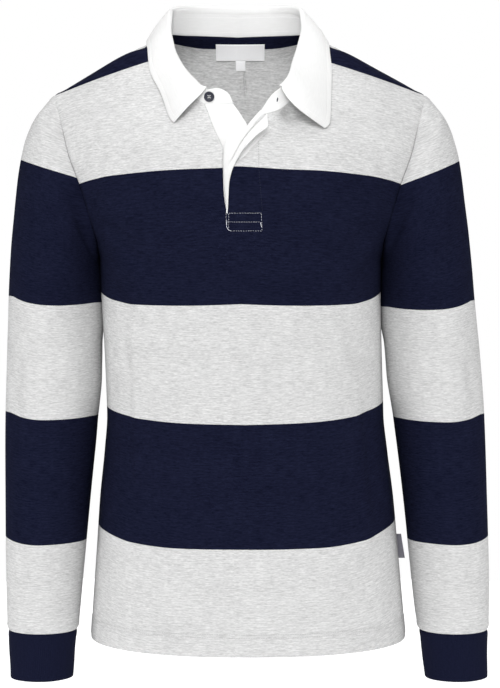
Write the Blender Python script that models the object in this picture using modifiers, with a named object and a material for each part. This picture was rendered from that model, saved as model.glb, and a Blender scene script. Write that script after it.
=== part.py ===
"""Long-sleeved rugby shirt, filled out as it is when worn, with nobody in it.

The front faces -Y, the wearer's left is +X and up is +Z.  The origin is midway between the two
shoulder neck points.  Sizes here are millimetres; MM turns them into metres when a mesh is made.

Each piece of cloth is a surface worked out on a grid of two parameters, given a wall by a
Solidify modifier.  Pieces that are sewn together share the curve of their seam.
"""

import math

import bmesh
import bpy
import numpy as np

MM = 0.001
COLLECTION = "rugby_shirt"
CUTTERS = "rugby_shirt_cutters"

# Walls and gaps
JERSEY_WALL = 1.2
COLLAR_WALL = 1.4
PLACKET_WALL = 1.0
CUFF_WALL = 1.8
TAPE_WALL = 0.6
SEAM_GAP = 0.3
ARMHOLE_GAP = 0.7
# The back panel's edge at the shoulder seam stands this far back and up from the front panel's
SHOULDER_GAP_BACK = 0.75
SHOULDER_GAP_UP = 0.45
SHOULDER_GAP_START = 0.04
MERGE = 0.00001

# Places down the edge of the body panels, from the tip of the shoulder
SHOULDER_TIP = 71
BLADE_DOWN = 115
SHOULDERS_END = 208
UNDERARM = 264
HEM = 690
NECK_FADE_END = 175

# Grids: how many strips each piece is cut into
UNDERARM_ROWS = (226, 240, 250, 258, UNDERARM)
SIDE_ROWS = 7
NECK_STRIPS = 9
SHOULDER_STRIPS = 7
SLEEVE_STRIPS = 26
LEAF_STRIPS = 34
STAND_END_STRIPS = 4
DENSE = 240

# The whole shirt hangs with a slight sideways swing: x moved at each height
SWING = (("z", "shift"),
         (40, -3), (-20, -3), (-80, 0), (-200, 0.5), (-290, 1.5), (-380, 4.5), (-430, 6),
         (-530, 7.5), (-640, 8.8), (-740, 10))

# Neck seam, one side: from the back of the neck to the shoulder seam, then to the front slit
NECK_BACK = (("x", "y", "z"),
             (0, 72, 1), (38, 64, 1.8), (64, 42, 0.8), (77, 10, -1), (77.5, -14, -10),
             (77, -32, -27))
NECK_FRONT_RIGHT = (("x", "y", "z"),
                    (77, -32, -27), (73, -55, -49), (62, -82, -68), (39, -104.5, -86))
NECK_FRONT_LEFT = (("x", "y", "z"),
                   (77, -32, -27), (73, -55, -49), (64, -82, -70), (50, -99, -87),
                   (28, -107.5, -98))

# Shoulder seam, one side, from the neck to the tip of the shoulder
SHOULDER_SEAM = (("x", "y", "z"),
                 (77, -32, -27), (104, -31, -35), (158, -21, -52), (212, -5, -71))

# Front panel: a row for each section, down the armhole and then down the side seam
FRONT = (("down", "z_mid", "y_mid", "x_edge", "y_edge", "z_edge", "turn", "square"),
         (71, -88, -106, 212, -5, -71, 62, 2.2),
         (80, -94, -108, 210.5, -13, -77, 61.5, 2.2),
         (100, -109, -112, 203.5, -28, -99, 60, 2.2),
         (141, -142, -118, 192, -50, -141, 60, 2.2),
         (175, -176, -123, 179.5, -58, -175, 63, 2.2),
         (208, -208, -127, 170, -58, -208, 66, 2.3),
         (226, -226, -128, 165, -50, -226, 71, 2.35),
         (240, -240, -129, 161.8, -37, -240, 77.5, 2.4),
         (254, -254, -129, 160.8, -16, -254, 84.5, 2.4),
         (264, -264, -129, 160.5, -0.15, -264, 90, 2.4),
         (310, -310, -127, 159.5, -0.15, -310, 90, 2.4),
         (380, -380, -122, 158.5, -0.15, -380, 90, 2.4),
         (434, -434, -119, 158.5, -0.15, -434, 90, 2.4),
         (475, -475, -118, 162, -0.15, -475, 90, 2.4),
         (531, -531, -120, 168.5, -0.15, -531, 90, 2.4),
         (587, -587, -123, 173, -0.15, -587, 90, 2.4),
         (643, -643, -127, 177.5, -0.15, -643, 90, 2.4),
         (690, -690, -130, 181, -0.15, -690, 90, 2.4))

# Back panel below the shoulder blades, in the same columns
BACK = (("down", "z_mid", "y_mid", "x_edge", "y_edge", "z_edge", "turn", "square"),
        (135, -108, 102, 193.5, 52, -135, 55, 2.2),
        (172, -158, 107, 180.5, 61, -172, 58, 2.2),
        (208, -203, 108, 170, 59, -208, 61, 2.3),
        (226, -223, 108, 165, 50, -226, 66, 2.35),
        (240, -239, 107, 161.8, 37, -240, 74, 2.4),
        (254, -254, 106, 160.8, 16, -254, 84, 2.4),
        (264, -264, 105, 160.5, 0.15, -264, 90, 2.4),
        (310, -310, 101, 159.5, 0.15, -310, 90, 2.4),
        (380, -380, 92, 158.5, 0.15, -380, 90, 2.4),
        (434, -434, 88, 158.5, 0.15, -434, 90, 2.4),
        (475, -475, 91, 162, 0.15, -475, 90, 2.4),
        (531, -531, 100, 168.5, 0.15, -531, 90, 2.4),
        (587, -587, 109, 173, 0.15, -587, 90, 2.4),
        (643, -643, 115, 177.5, 0.15, -643, 90, 2.4),
        (690, -690, 118, 181, 0.15, -690, 90, 2.4))

# Share of each panel's top edge that is neckline, the rest being shoulder seam
FRONT_NECK_SHARE = 0.38
BACK_NECK_SHARE = 0.47

# Back panel over the shoulder: three rows between its top edge and the shoulder blades
RIDGE_DOWN = 84
RIDGE = (("share", "x", "y", "z"),
         (0, 0, 82, -16), (0.16, 40, 76, -12), (0.24, 78, 43, -5), (0.32, 90, 12, -2),
         (0.4, 94, -3, -7), (0.47, 98, -9, -14), (0.62, 122, -3, -22), (0.8, 163, 4, -43.5),
         (1, 210.5, 10, -72.5))
YOKE_DOWN = 97
YOKE = (("share", "x", "y", "z"),
        (0, 0, 89, -34), (0.16, 44, 85, -29), (0.24, 76, 68, -22), (0.32, 93, 46, -15),
        (0.4, 103, 31, -12), (0.47, 111, 23, -14), (0.62, 132, 21, -28), (0.8, 166, 22, -50),
        (1, 207, 24, -84))
BLADE = (("share", "x", "y", "z"),
         (0, 0, 97, -64), (0.16, 44, 94, -60), (0.24, 66, 89, -56), (0.32, 86, 81, -51),
         (0.4, 103, 71, -50), (0.47, 116, 63, -52), (0.62, 140, 53, -61), (0.8, 169, 45, -78),
         (1, 201, 38, -108))

# Front slit: its two edges, down from the neck
SLIT_END_Z = -205
SLIT = (("z", "right_edge", "left_edge", "lip_edge"),
        (-86, -39, 27, 29), (-98, -34, 21, 29.5), (-104, -32, 16.5, 29.7), (-117, -26.5, 5.5, 21),
        (-128, -21, -2, 9.3), (-137, -18, -7, 1.7), (-148, -18.6, -10.5, -3.8),
        (-160, -18.4, -12.4, -8), (-177, -18, -13, -10.5), (-190, -17, -13.6, -12),
        (-198, -15.8, -13.9, -12.8), (-205, -14.3, -14.3, -13.3), (-240, -14.3, -14.3, -13.3))
FACING_END_Z = -196
FACING_WIDTH = 30
FACING_START = 0.4
LIP_LEAST = 1.8
UNDER_PLACKET_TUCK = 7
UNDER_PLACKET_WIDTH = 37
UNDER_PLACKET_TOP_Z = -87.2
UNDER_PLACKET_TOP_WIDTH = 31
UNDER_PLACKET_WIDENING = 0.3
UNDER_PLACKET_END_Z = -227
# Depth of the under placket behind the front: on its own edge, and more behind the other edge
UNDER_PLACKET_SINK = 1.6
UNDER_PLACKET_DIP = 2.8
UNDER_PLACKET_DIP_START = 10.5
UNDER_PLACKET_DIP_LENGTH = 6

# Sleeve: a row for each ring, its outer and inner points seen from the front, and its depth
SLEEVE = (("out_x", "out_z", "in_x", "in_z", "y_mid", "y_half"),
          (229, -90, 161.6, -267.5, 0, 63),
          (241, -111, 161.9, -271, 0, 66),
          (249.5, -138, 162, -276, 0, 66),
          (257, -190, 162, -290, 0, 63),
          (263.5, -254, 161.8, -312, 0, 60),
          (267.6, -309, 161.8, -342, 0, 58),
          (272, -378, 163.2, -388, -1, 56),
          (274.8, -440, 170, -443, -5, 53),
          (276.4, -520, 178.5, -521, -10, 50),
          (277, -600, 186.5, -600, -16, 46),
          (276, -680.7, 195, -680.7, -20, 41))
CUFF = (("out_x", "out_z", "in_x", "in_z", "y_mid", "y_half"),
        (274.8, -681, 196.5, -681, -20, 39.5),
        (274.4, -708, 199.3, -708, -21, 38),
        (273.8, -735, 202, -735, -22, 37))

# Collar: a row for each station round the neck, from the button end to the buttonhole end.
# neck is the place on the neck seam: 0 at the back, 1 and -1 at the shoulder seams, 2 and -2 at
# the slit, -3 at the button end.  top is the fold of the collar and edge the rim of its leaf.
COLLAR = (("neck", "top_x", "top_y", "top_z", "edge_x", "edge_y", "edge_z"),
          (-3, -8, -104.5, -83, -7, -108, -90),
          (-2.78, -12, -104.5, -75, -14, -108, -90),
          (-2.4, -24, -104.5, -69, -26, -108, -90),
          (-2, -36.7, -103.5, -70.5, -79, -110, -98),
          (-1.67, -50, -93, -60, -86, -102, -85.5),
          (-1.34, -63, -70, -42, -94, -84, -56),
          (-1, -72, -40, -18, -101.5, -50, -36),
          (-0.84, -76, -12, 6, -102, -12, -15),
          (-0.66, -75.5, 14, 24, -98, 22, -14),
          (-0.43, -63, 38, 31, -86, 64, -14),
          (-0.22, -37, 59, 33, -52, 88, -16),
          (0, 0, 66, 33, 0, 98, -18),
          (0.22, 37, 59, 33, 52, 88, -16),
          (0.43, 62, 38, 31, 85, 64, -14),
          (0.66, 72.5, 14, 24, 95, 22, -14),
          (0.84, 74, -12, 6, 103.5, -12, -16),
          (1, 69.5, -40, -18, 107.5, -50, -36),
          (1.26, 62.5, -68, -40, 106.5, -82, -60),
          (1.5, 56, -90, -56, 104.5, -104, -92),
          (1.7, 46, -102, -68, 98.2, -110, -101.8),
          (1.85, 36, -106.5, -76, 40, -108, -95),
          (2, 27, -108, -88, 29, -108, -99))
BUTTON_END = (-7, -104.5, -85.2)
CHEST_MIDDLE = (0, 0, -150)
LEAF_FIRST_STATION = 3
LEAF_LAST_STATION = 19
STAND_LIFT = 0.9
LEAF_GAP = 0.8
LEAF_LIFT = 3.2
LEAF_ROLL = 3.0
LEAF_BOW = 2.4
LEAF_PASSES = 6
LEAF_ROLL_LEAST = 10
LEAF_ROLL_MOST = 110
# At the two ends the roll is tighter, and the front edges bow towards the opening and stand off
LEAF_END_ROLL = 2.6
LEAF_END_REACH = 24
LEAF_FIRST_END_BOW = 3.0
LEAF_LAST_END_BOW = 5.5
LEAF_END_LIFT = 3.0

# Button on the stand
BUTTON_X = -31.5
BUTTON_Z = -78.5
BUTTON_RADIUS = 6.0
BUTTON_DEPTH = 2.4
BUTTON_ROUND = 0.5
BUTTON_RIM = 1.3
BUTTON_SLOPE = 0.7
BUTTON_DISH = 0.7
BUTTON_SIDES = 24
BUTTON_MARGIN = 4
BUTTON_HOLE_RADIUS = 0.8
BUTTON_HOLE_OFFSET = 1.5
BUTTON_HOLE_SIDES = 10
BUTTON_HOLE_DEPTH = 8

# Labels
NECK_LABEL = {"x_low": -28.3, "x_high": 28.3, "z_low": -25.6, "z_high": -7.5}
SIZE_TAB = {"x_low": -5.3, "x_high": 5.7, "z_low": -37.4, "z_high": -26.0}
LABEL_SHIFT = 3
LABEL_SINK = 3.0
SIDE_TAB_Z_LOW = -603
SIDE_TAB_Z_HIGH = -575
SIDE_TAB_REACH = 6.5

# Colours: name, base colour, roughness
COLOURS = {
    "jersey": ((0.30, 0.31, 0.36), 0.9),
    "cuff": ((0.010, 0.013, 0.040), 0.9),
    "white_twill": ((0.80, 0.80, 0.79), 0.85),
    "button": ((0.012, 0.016, 0.045), 0.4),
    "label": ((0.74, 0.74, 0.75), 0.7),
    "side_tab": ((0.30, 0.29, 0.38), 0.7),
}


# Tables and curves

def columns(table):
    """Turn a table with a row of column names into a dictionary of arrays."""
    values = np.array(table[1:], dtype=float)
    return {name: values[:, index] for index, name in enumerate(table[0])}


def smooth(knots, values, at):
    """Monotone cubic through the values, whose first axis follows the knots."""
    knots = np.asarray(knots, dtype=float)
    values = np.asarray(values, dtype=float)
    at = np.clip(np.asarray(at, dtype=float), knots[0], knots[-1])
    spread = (-1,) + (1,) * (values.ndim - 1)
    step = np.diff(knots).reshape(spread)
    slope = np.diff(values, axis=0) / step
    weight_after = 2 * step[1:] + step[:-1]
    weight_before = step[1:] + 2 * step[:-1]
    same_way = slope[:-1] * slope[1:] > 0
    before = np.where(same_way, slope[:-1], 1)
    after = np.where(same_way, slope[1:], 1)
    mean = (weight_after + weight_before) / (weight_after / before + weight_before / after)
    inner = np.where(same_way, mean, 0)
    first = 1.5 * slope[:1] - 0.5 * inner[:1]
    last = 1.5 * slope[-1:] - 0.5 * inner[-1:]
    tangent = np.concatenate([first, inner, last])
    index = np.clip(np.searchsorted(knots, at, side="right") - 1, 0, len(knots) - 2)
    width = np.diff(knots)[index]
    part = (at - knots[index]) / width
    shape = part.shape + (1,) * (values.ndim - 1)
    part = part.reshape(shape)
    width = width.reshape(shape)
    start = (1 + 2 * part) * (1 - part) ** 2
    finish = part ** 2 * (3 - 2 * part)
    leave = part * (1 - part) ** 2 * width
    arrive = part ** 2 * (part - 1) * width
    return (start * values[index] + finish * values[index + 1]
            + leave * tangent[index] + arrive * tangent[index + 1])


def curve(table, share):
    """Point at a share of the length of the smooth curve through a table of x, y, z."""
    points = np.array(table[1:], dtype=float)
    length = reach_along(points)
    return smooth(length, points, np.asarray(share) * length[-1])


def ease(value):
    """Smooth step from 0 to 1."""
    value = np.clip(value, 0, 1)
    return value * value * (3 - 2 * value)


def signed_power(value, power):
    return np.sign(value) * np.abs(value) ** power


def unit(vectors):
    return vectors / np.linalg.norm(vectors, axis=-1, keepdims=True)


def reach_along(points):
    """Distance along a line of points to each of them."""
    return np.concatenate([[0], np.cumsum(np.linalg.norm(np.diff(points, axis=0), axis=1))])


def walk(distance, points, moved=None):
    """Points at distances along a line, or the same places of the line that it was moved to."""
    length = reach_along(points)
    line = points if moved is None else moved
    return np.stack([np.interp(distance, length, line[:, axis]) for axis in range(3)], axis=-1)


def swing(points):
    """Move points sideways by the swing at their height."""
    table = columns(SWING)
    moved = points.copy()
    order = np.argsort(table["z"])
    moved[..., 0] += smooth(table["z"][order], table["shift"][order], points[..., 2])
    return moved


def normals(grid):
    """Unit normals of a grid of points, across its rows and columns."""
    along_rows = np.gradient(grid, axis=0)
    along_columns = np.gradient(grid, axis=1)
    return unit(np.cross(along_columns, along_rows))


# Body panels

def section(table, down):
    """All columns of a body table at the given places down the edge."""
    table = columns(table)
    return {name: smooth(table["down"], values, down) for name, values in table.items()}


def arc(params, angle):
    """Points of a body section at angles from its middle, as part of a squared ellipse."""
    turn = np.radians(params["turn"])
    power = 2 / params["square"]
    across = signed_power(np.sin(angle * turn), power) / np.sin(turn) ** power
    end_depth = np.abs(np.cos(turn)) ** power
    depth = (np.abs(np.cos(angle * turn)) ** power - end_depth) / (1 - end_depth)
    x = params["x_edge"] * across
    y = params["y_edge"] + (params["y_mid"] - params["y_edge"]) * depth
    z = params["z_mid"] + (params["z_edge"] - params["z_mid"]) * np.abs(across) ** 2
    return np.stack([x, y, z], axis=-1)


def arc_between(params, low_x, high_x, share):
    """Points of a section from one x to another, evenly spaced along it."""
    angle = np.linspace(-1, 1, DENSE)
    points = arc(params, angle)
    first = np.interp(low_x, points[:, 0], angle)
    last = np.interp(high_x, points[:, 0], angle)
    angle = np.linspace(first, last, DENSE)
    points = arc(params, angle)
    length = reach_along(points)
    return arc(params, np.interp(share * length[-1], length, angle))


def slit_x(z, name):
    """x of an edge of the front slit at a height."""
    table = columns(SLIT)
    return smooth(-table["z"], table[name], -np.asarray(z, dtype=float))


def front_top(side, share):
    """Top edge of half the front: the neckline from the slit, then the shoulder seam."""
    neck = NECK_FRONT_LEFT if side > 0 else NECK_FRONT_RIGHT
    on_neck = curve(neck, 1 - np.clip(share / FRONT_NECK_SHARE, 0, 1))
    shoulder_share = np.clip((share - FRONT_NECK_SHARE) / (1 - FRONT_NECK_SHARE), 0, 1)
    on_shoulder = curve(SHOULDER_SEAM, shoulder_share)
    points = np.where((share < FRONT_NECK_SHARE)[:, None], on_neck, on_shoulder)
    return points * (side, 1, 1)


def half_front(side, share, down):
    """Half of the front panel: share 0 at the slit and 1 at the edge, down in millimetres.

    The upper sections are tilted to meet the neck at the slit.  What the first one then misses
    the panel's real top edge by is added to it, and less and less of it to those further down.
    """
    edge_name = "left_edge" if side > 0 else "right_edge"
    along = share if side > 0 else 1 - share
    tilt = front_top(side, np.zeros(1))[0, 2] - columns(FRONT)["z_mid"][0]
    fade = np.clip((NECK_FADE_END - down) / (NECK_FADE_END - SHOULDER_TIP), 0, 1) ** 2

    def row(place, weight):
        params = {name: float(value) for name, value in section(FRONT, place).items()}
        params["z_mid"] += tilt * weight
        inner_x = float(slit_x(params["z_mid"], edge_name))
        low_x, high_x = sorted((inner_x, side * params["x_edge"]))
        return arc_between(params, low_x, high_x, along)

    grid = np.array([row(place, weight) for place, weight in zip(down, fade)])
    missing = front_top(side, share) - row(SHOULDER_TIP, 1)
    return grid + missing[None] * fade[:, None, None]


def back(share, down):
    """Back panel: share -1 to 1 across, down in millimetres from the shoulder seam."""
    size = np.abs(share)
    side = np.stack([np.where(share < 0, -1.0, 1.0), np.ones_like(share), np.ones_like(share)], -1)
    on_neck = curve(NECK_BACK, np.clip(size / BACK_NECK_SHARE, 0, 1))
    shoulder_share = np.clip((size - BACK_NECK_SHARE) / (1 - BACK_NECK_SHARE), 0, 1)
    on_shoulder = curve(SHOULDER_SEAM, shoulder_share)
    top = np.where((size < BACK_NECK_SHARE)[:, None], on_neck, on_shoulder)
    on_seam = ease((size - BACK_NECK_SHARE) / SHOULDER_GAP_START + 1)
    top[:, 1] += SHOULDER_GAP_BACK * on_seam
    top[:, 2] += SHOULDER_GAP_UP * on_seam
    rows = [top]
    for table in (RIDGE, YOKE, BLADE):
        table = columns(table)
        xyz = np.stack([table["x"], table["y"], table["z"]], axis=-1)
        rows.append(smooth(table["share"], xyz, size))
    table = columns(BACK)
    for index in range(len(table["down"])):
        params = {name: values[index] for name, values in table.items()}
        rows.append(arc_between(params, 0.0, params["x_edge"], size))
    knots = np.concatenate([[SHOULDER_TIP, RIDGE_DOWN, YOKE_DOWN, BLADE_DOWN], table["down"]])
    return smooth(knots, np.array(rows) * side[None], down)


def armhole(share):
    """Armhole, one side: share 0 at the tip, 0.5 under the arm by the front, 1 at the tip."""
    steps = np.linspace(SHOULDER_TIP, UNDERARM, DENSE)
    part = 1 - np.abs(1 - 2 * share)
    lines = []
    for edge in (half_front(1, np.ones(1), steps)[:, 0], back(np.ones(1), steps)[:, 0]):
        lines.append(walk(part * reach_along(edge)[-1], edge))
    return np.where((share <= 0.5)[:, None], lines[0], lines[1])


def ring(params, share):
    """Ring of a sleeve or cuff: share 0 at its outer point, 0.5 at its inner point."""
    angle = 2 * math.pi * share
    outer = np.array([params["out_x"], 0, params["out_z"]])
    inner = np.array([params["in_x"], 0, params["in_z"]])
    middle = (outer + inner) / 2
    half = (outer - inner) / 2
    points = middle + np.cos(angle)[:, None] * half
    points[:, 1] = params["y_mid"] - params["y_half"] * np.sin(angle)
    return points


def sleeve(share, along):
    """Sleeve on the +X side: share round it, along 0 at the armhole and 1 at the cuff."""
    start = armhole(share)
    rings = [ring(dict(zip(SLEEVE[0], row)), share) for row in SLEEVE[1:]]
    rings.insert(0, start + unit(rings[0] - start) * ARMHOLE_GAP)
    reach = reach_along(np.mean(rings, axis=1))
    return smooth(reach / reach[-1], np.array(rings), along)


def cuff(share, along):
    """Cuff on the +X side: share round it, along 0 at the sleeve and 1 at the wrist."""
    rings = [ring(dict(zip(CUFF[0], row)), share) for row in CUFF[1:]]
    return smooth(np.linspace(0, 1, len(rings)), np.array(rings), along)


def chest_depth(x, z):
    """y of the front's own surface at x and z near the slit."""
    table = columns(FRONT)
    down = np.interp(-z, -table["z_mid"], table["down"])
    params = section(FRONT, down)
    turn = np.radians(params["turn"])
    power = 2 / params["square"]
    sine = (np.abs(x) / params["x_edge"] * np.sin(turn) ** power) ** (1 / power)
    cosine = np.sqrt(np.clip(1 - sine ** 2, 0, 1))
    end_depth = np.cos(turn) ** power
    depth = (cosine ** power - end_depth) / (1 - end_depth)
    return params["y_edge"] + (params["y_mid"] - params["y_edge"]) * depth


# Collar

def neck_seam(place):
    """Point on the panels' neck edges: 0 at the back, beyond 2 or -2 on the placket."""
    size = np.abs(place)
    marks = np.linspace(0, 1, NECK_STRIPS + 1)
    back_edge = curve(NECK_BACK, marks)
    points = []
    for front_neck, side in ((NECK_FRONT_RIGHT, -1), (NECK_FRONT_LEFT, 1)):
        edge = np.concatenate([back_edge, curve(front_neck, marks)[1:]]) * (side, 1, 1)
        along = np.linspace(0, 2, 2 * NECK_STRIPS + 1)
        points.append(np.stack([np.interp(size, along, edge[:, axis]) for axis in range(3)], -1))
    on_panels = np.where((place < 0)[:, None], points[0], points[1])
    beyond = np.clip(size - 2, 0, 1)[:, None]
    return on_panels * (1 - beyond) + np.array(BUTTON_END) * beyond


def collar_lines(share):
    """Seam, fold and rim of the collar at shares of the way round the neck."""
    table = columns(COLLAR)
    top = np.stack([table["top_x"], table["top_y"], table["top_z"]], axis=-1)
    edge = np.stack([table["edge_x"], table["edge_y"], table["edge_z"]], axis=-1)
    length = reach_along(top)
    length /= length[-1]
    seam = neck_seam(smooth(length, table["neck"], share))
    top = smooth(length, top, share)
    seam += unit(top - seam) * STAND_LIFT
    return length, [seam, top, smooth(length, edge, share)]


def collar_shares():
    """Columns of the stand; the leaf has the same ones between its two ends."""
    stations = collar_lines(np.zeros(1))[0]
    first = stations[LEAF_FIRST_STATION]
    last = stations[LEAF_LAST_STATION]
    return np.concatenate([np.linspace(0, first, STAND_END_STRIPS, endpoint=False),
                           np.linspace(first, last, LEAF_STRIPS, endpoint=False),
                           np.linspace(last, 1, STAND_END_STRIPS + 1)])


def collar_stand():
    """Band from the neck seam up to the fold of the collar."""
    seam, top, _ = collar_lines(collar_shares())[1]
    up = np.linspace(0, 1, 4)[:, None, None]
    return seam[None] * (1 - up) + top[None] * up


def leaf_rim(rim):
    """Seat the rim of the leaf on the panels that it lies on."""
    down = np.linspace(SHOULDER_TIP, SHOULDERS_END, 64)
    half = np.linspace(0, 1, 60)
    panels = [half_front(-1, half, down), half_front(1, half, down),
              back(np.linspace(-1, 1, 160), down)]
    spots = np.concatenate([panel.reshape(-1, 3) for panel in panels])
    outward = np.concatenate([normals(panel).reshape(-1, 3) for panel in panels])
    outward *= np.sign(np.sum(outward * (spots - CHEST_MIDDLE), axis=-1, keepdims=True))
    for _ in range(LEAF_PASSES):
        distance = np.linalg.norm(rim[:, None] - spots[None], axis=-1)
        nearest = np.argmin(distance, axis=1)
        gap = np.sum((rim - spots[nearest]) * outward[nearest], axis=-1, keepdims=True)
        move = outward[nearest] * (LEAF_LIFT - gap)
        padded = np.concatenate([move[:1], move, move[-1:]])
        rim = rim + (padded[:-2] + 2 * padded[1:-1] + padded[2:]) / 4
    return rim


def collar_fall():
    """Leaf of the collar: rolled over the top of the stand, then down to its rim."""
    share = collar_shares()[STAND_END_STRIPS:-STAND_END_STRIPS]
    seam, top, rim = collar_lines(share)[1]
    rim = leaf_rim(rim)
    up = unit(top - seam)
    on = unit(np.gradient(top, axis=0))
    out = unit(np.cross(up, on))
    reach = reach_along(top)
    near_first = ease(1 - reach / LEAF_END_REACH)[:, None]
    near_last = ease(1 - (reach[-1] - reach) / LEAF_END_REACH)[:, None]
    near = near_first + near_last
    roll = LEAF_ROLL + (LEAF_END_ROLL - LEAF_ROLL) * near
    side_bow = LEAF_LAST_END_BOW * near_last - LEAF_FIRST_END_BOW * near_first
    hub = top + up * LEAF_GAP + out * (roll - COLLAR_WALL)
    fall = rim - hub
    finish = np.arctan2(np.sum(fall * out, axis=-1), -np.sum(fall * up, axis=-1))
    finish = np.clip(finish, math.radians(LEAF_ROLL_LEAST), math.radians(LEAF_ROLL_MOST))
    rows = []
    for part in np.linspace(0, 1, 5):
        angle = (math.pi * (1 - part) + finish * part)[:, None]
        rows.append(hub + roll * (np.cos(angle) * out + np.sin(angle) * up))
    end = rows[-1]
    facing = unit(end - hub)
    on = unit(on - facing * np.sum(on * facing, axis=-1, keepdims=True))
    out_bow = LEAF_BOW + LEAF_END_LIFT * near
    for part in np.linspace(0, 1, 6)[1:]:
        rows.append(end + (rim - end) * part + facing * out_bow * math.sin(math.pi * part)
                    + on * side_bow * math.sin(math.pi * part ** 0.75))
    return np.array(rows)


# Placket

def placket_facing():
    """Facing of the wearer's left edge: a lip turned out over the panel, then inside it."""
    down = front_rows()
    panel = half_front(1, front_shares(), down)
    panel = panel[panel[:, 0, 2] > FACING_END_Z]
    outward = normals(panel)
    outward *= -np.sign(outward[..., 1:2])
    reach = JERSEY_WALL / 2 + SEAM_GAP + PLACKET_WALL
    turn_angles = np.linspace(0, math.pi, 5)[1:-1, None]
    edge_way = np.gradient(panel[:, 0], axis=0)
    side_way = unit(np.cross(edge_way, outward[:, 0]))
    side_way *= -np.sign(side_way[:, :1])
    rows = []
    for points, away, side in zip(panel, outward, side_way):
        middle = points - away * JERSEY_WALL / 2
        lip = max(LIP_LEAST, float(slit_x(points[0, 2], "lip_edge") - points[0, 0]))
        outer = walk(np.linspace(lip, FACING_START, 4), middle, middle + away * reach)
        inner = walk(np.linspace(FACING_START, FACING_WIDTH, 5), middle, middle - away * reach)
        bend = middle[0] + reach * (np.cos(turn_angles) * away[0] + np.sin(turn_angles) * side)
        rows.append(np.concatenate([outer, bend, inner]))
    return np.array(rows)


def placket_under():
    """Strip sewn to the wearer's right edge of the slit, behind the other edge."""
    down = front_rows()
    panel = half_front(-1, front_shares(), down)
    panel = panel[panel[:, 0, 2] > UNDER_PLACKET_END_Z]
    inward = normals(panel)
    inward *= np.sign(inward[..., 1:2])
    rows = []
    for points, deeper in zip(panel, inward):
        edge = points[0]
        cover = float(slit_x(edge[2], "left_edge"))
        tuck = np.linspace(UNDER_PLACKET_TUCK, 0, 4)
        widening = UNDER_PLACKET_WIDENING * (UNDER_PLACKET_TOP_Z - edge[2])
        widest = min(UNDER_PLACKET_WIDTH, UNDER_PLACKET_TOP_WIDTH + widening)
        across = np.linspace(0, widest, 8)[1:]
        hidden = walk(tuck, points)
        x = edge[0] + across
        z = np.full_like(x, edge[2])
        y = edge[1] + chest_depth(x, z) - chest_depth(np.array(edge[0]), np.array(edge[2]))
        line = np.concatenate([hidden, np.stack([x, y, z], axis=-1)])
        dip = ease((line[:, 0] - cover + UNDER_PLACKET_DIP_START) / UNDER_PLACKET_DIP_LENGTH)
        sink = UNDER_PLACKET_SINK + UNDER_PLACKET_DIP * dip
        rows.append(line + sink[:, None] * deeper[0])
    return np.array(rows)


# Labels and button

def on_back(x, z):
    """Points of the back panel at x and z, found on a fine grid of it."""
    grid = back(np.linspace(-0.35, 0.35, 71), np.linspace(SHOULDER_TIP, SHOULDERS_END, DENSE))
    depths = np.stack([np.interp(x, row[:, 0], row[:, 1]) for row in grid], axis=1)
    heights = np.stack([np.interp(x, row[:, 0], row[:, 2]) for row in grid], axis=1)
    y = [np.interp(-place, -height, depth) for place, height, depth in zip(z, heights, depths)]
    return np.stack([x, np.array(y), z], axis=-1)


def inside_label(size):
    """Label laid inside the back of the neck."""
    x = np.linspace(size["x_low"], size["x_high"], 9) + LABEL_SHIFT
    z = np.linspace(size["z_high"], size["z_low"], 5)
    grid = np.array([on_back(x, np.full_like(x, height)) for height in z])
    grid[..., 1] -= LABEL_SINK
    return grid


def side_tab():
    """Folded tab caught in the side seam on the +X side, standing out from it."""
    z = np.linspace(SIDE_TAB_Z_HIGH, SIDE_TAB_Z_LOW, 5)
    edge = section(FRONT, -z)["x_edge"] + SEAM_GAP
    reach = np.linspace(0, SIDE_TAB_REACH, 3)
    x = edge[:, None] + reach[None]
    y = np.full_like(x, TAPE_WALL / 2)
    return np.stack([x, y, np.broadcast_to(z[:, None], x.shape)], axis=-1)


# Grids of the panels

def front_rows():
    """Places of the front panel's rows, closer together beside the slit and under the arm."""
    return np.concatenate([np.linspace(SHOULDER_TIP, SHOULDERS_END, 16), UNDERARM_ROWS, side_rows()])


def back_rows():
    """Places of the back panel's rows, closer together over the shoulder and under the arm."""
    return np.concatenate([np.linspace(SHOULDER_TIP, BLADE_DOWN, 8),
                           np.linspace(BACK[1][0], SHOULDERS_END, 4), UNDERARM_ROWS, side_rows()])


def side_rows():
    return np.linspace(UNDERARM, HEM, SIDE_ROWS + 1)[1:]


def shares(neck_share):
    """Columns of half a panel: even on the neckline, and even on the shoulder seam."""
    return np.concatenate([np.linspace(0, neck_share, NECK_STRIPS, endpoint=False),
                           np.linspace(neck_share, 1, SHOULDER_STRIPS + 1)])


def front_shares():
    return shares(FRONT_NECK_SHARE)


# Meshes and objects

def material(name):
    colour, roughness = COLOURS[name]
    existing = bpy.data.materials.get(name)
    if existing:
        return existing
    made = bpy.data.materials.new(name)
    made.use_nodes = True
    shader = made.node_tree.nodes["Principled BSDF"]
    shader.inputs["Base Color"].default_value = (*colour, 1)
    shader.inputs["Roughness"].default_value = roughness
    made.diffuse_color = (*colour, 1)
    return made


def grid_faces(rows, strips, closed=False):
    """Quads of a grid, row by row, closed round into a ring where asked."""
    faces = []
    width = strips if closed else strips + 1
    for row in range(rows):
        for strip in range(strips):
            after = (strip + 1) % width
            here = row * width
            below = here + width
            faces.append((here + strip, here + after, below + after, below + strip))
    return faces


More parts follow.
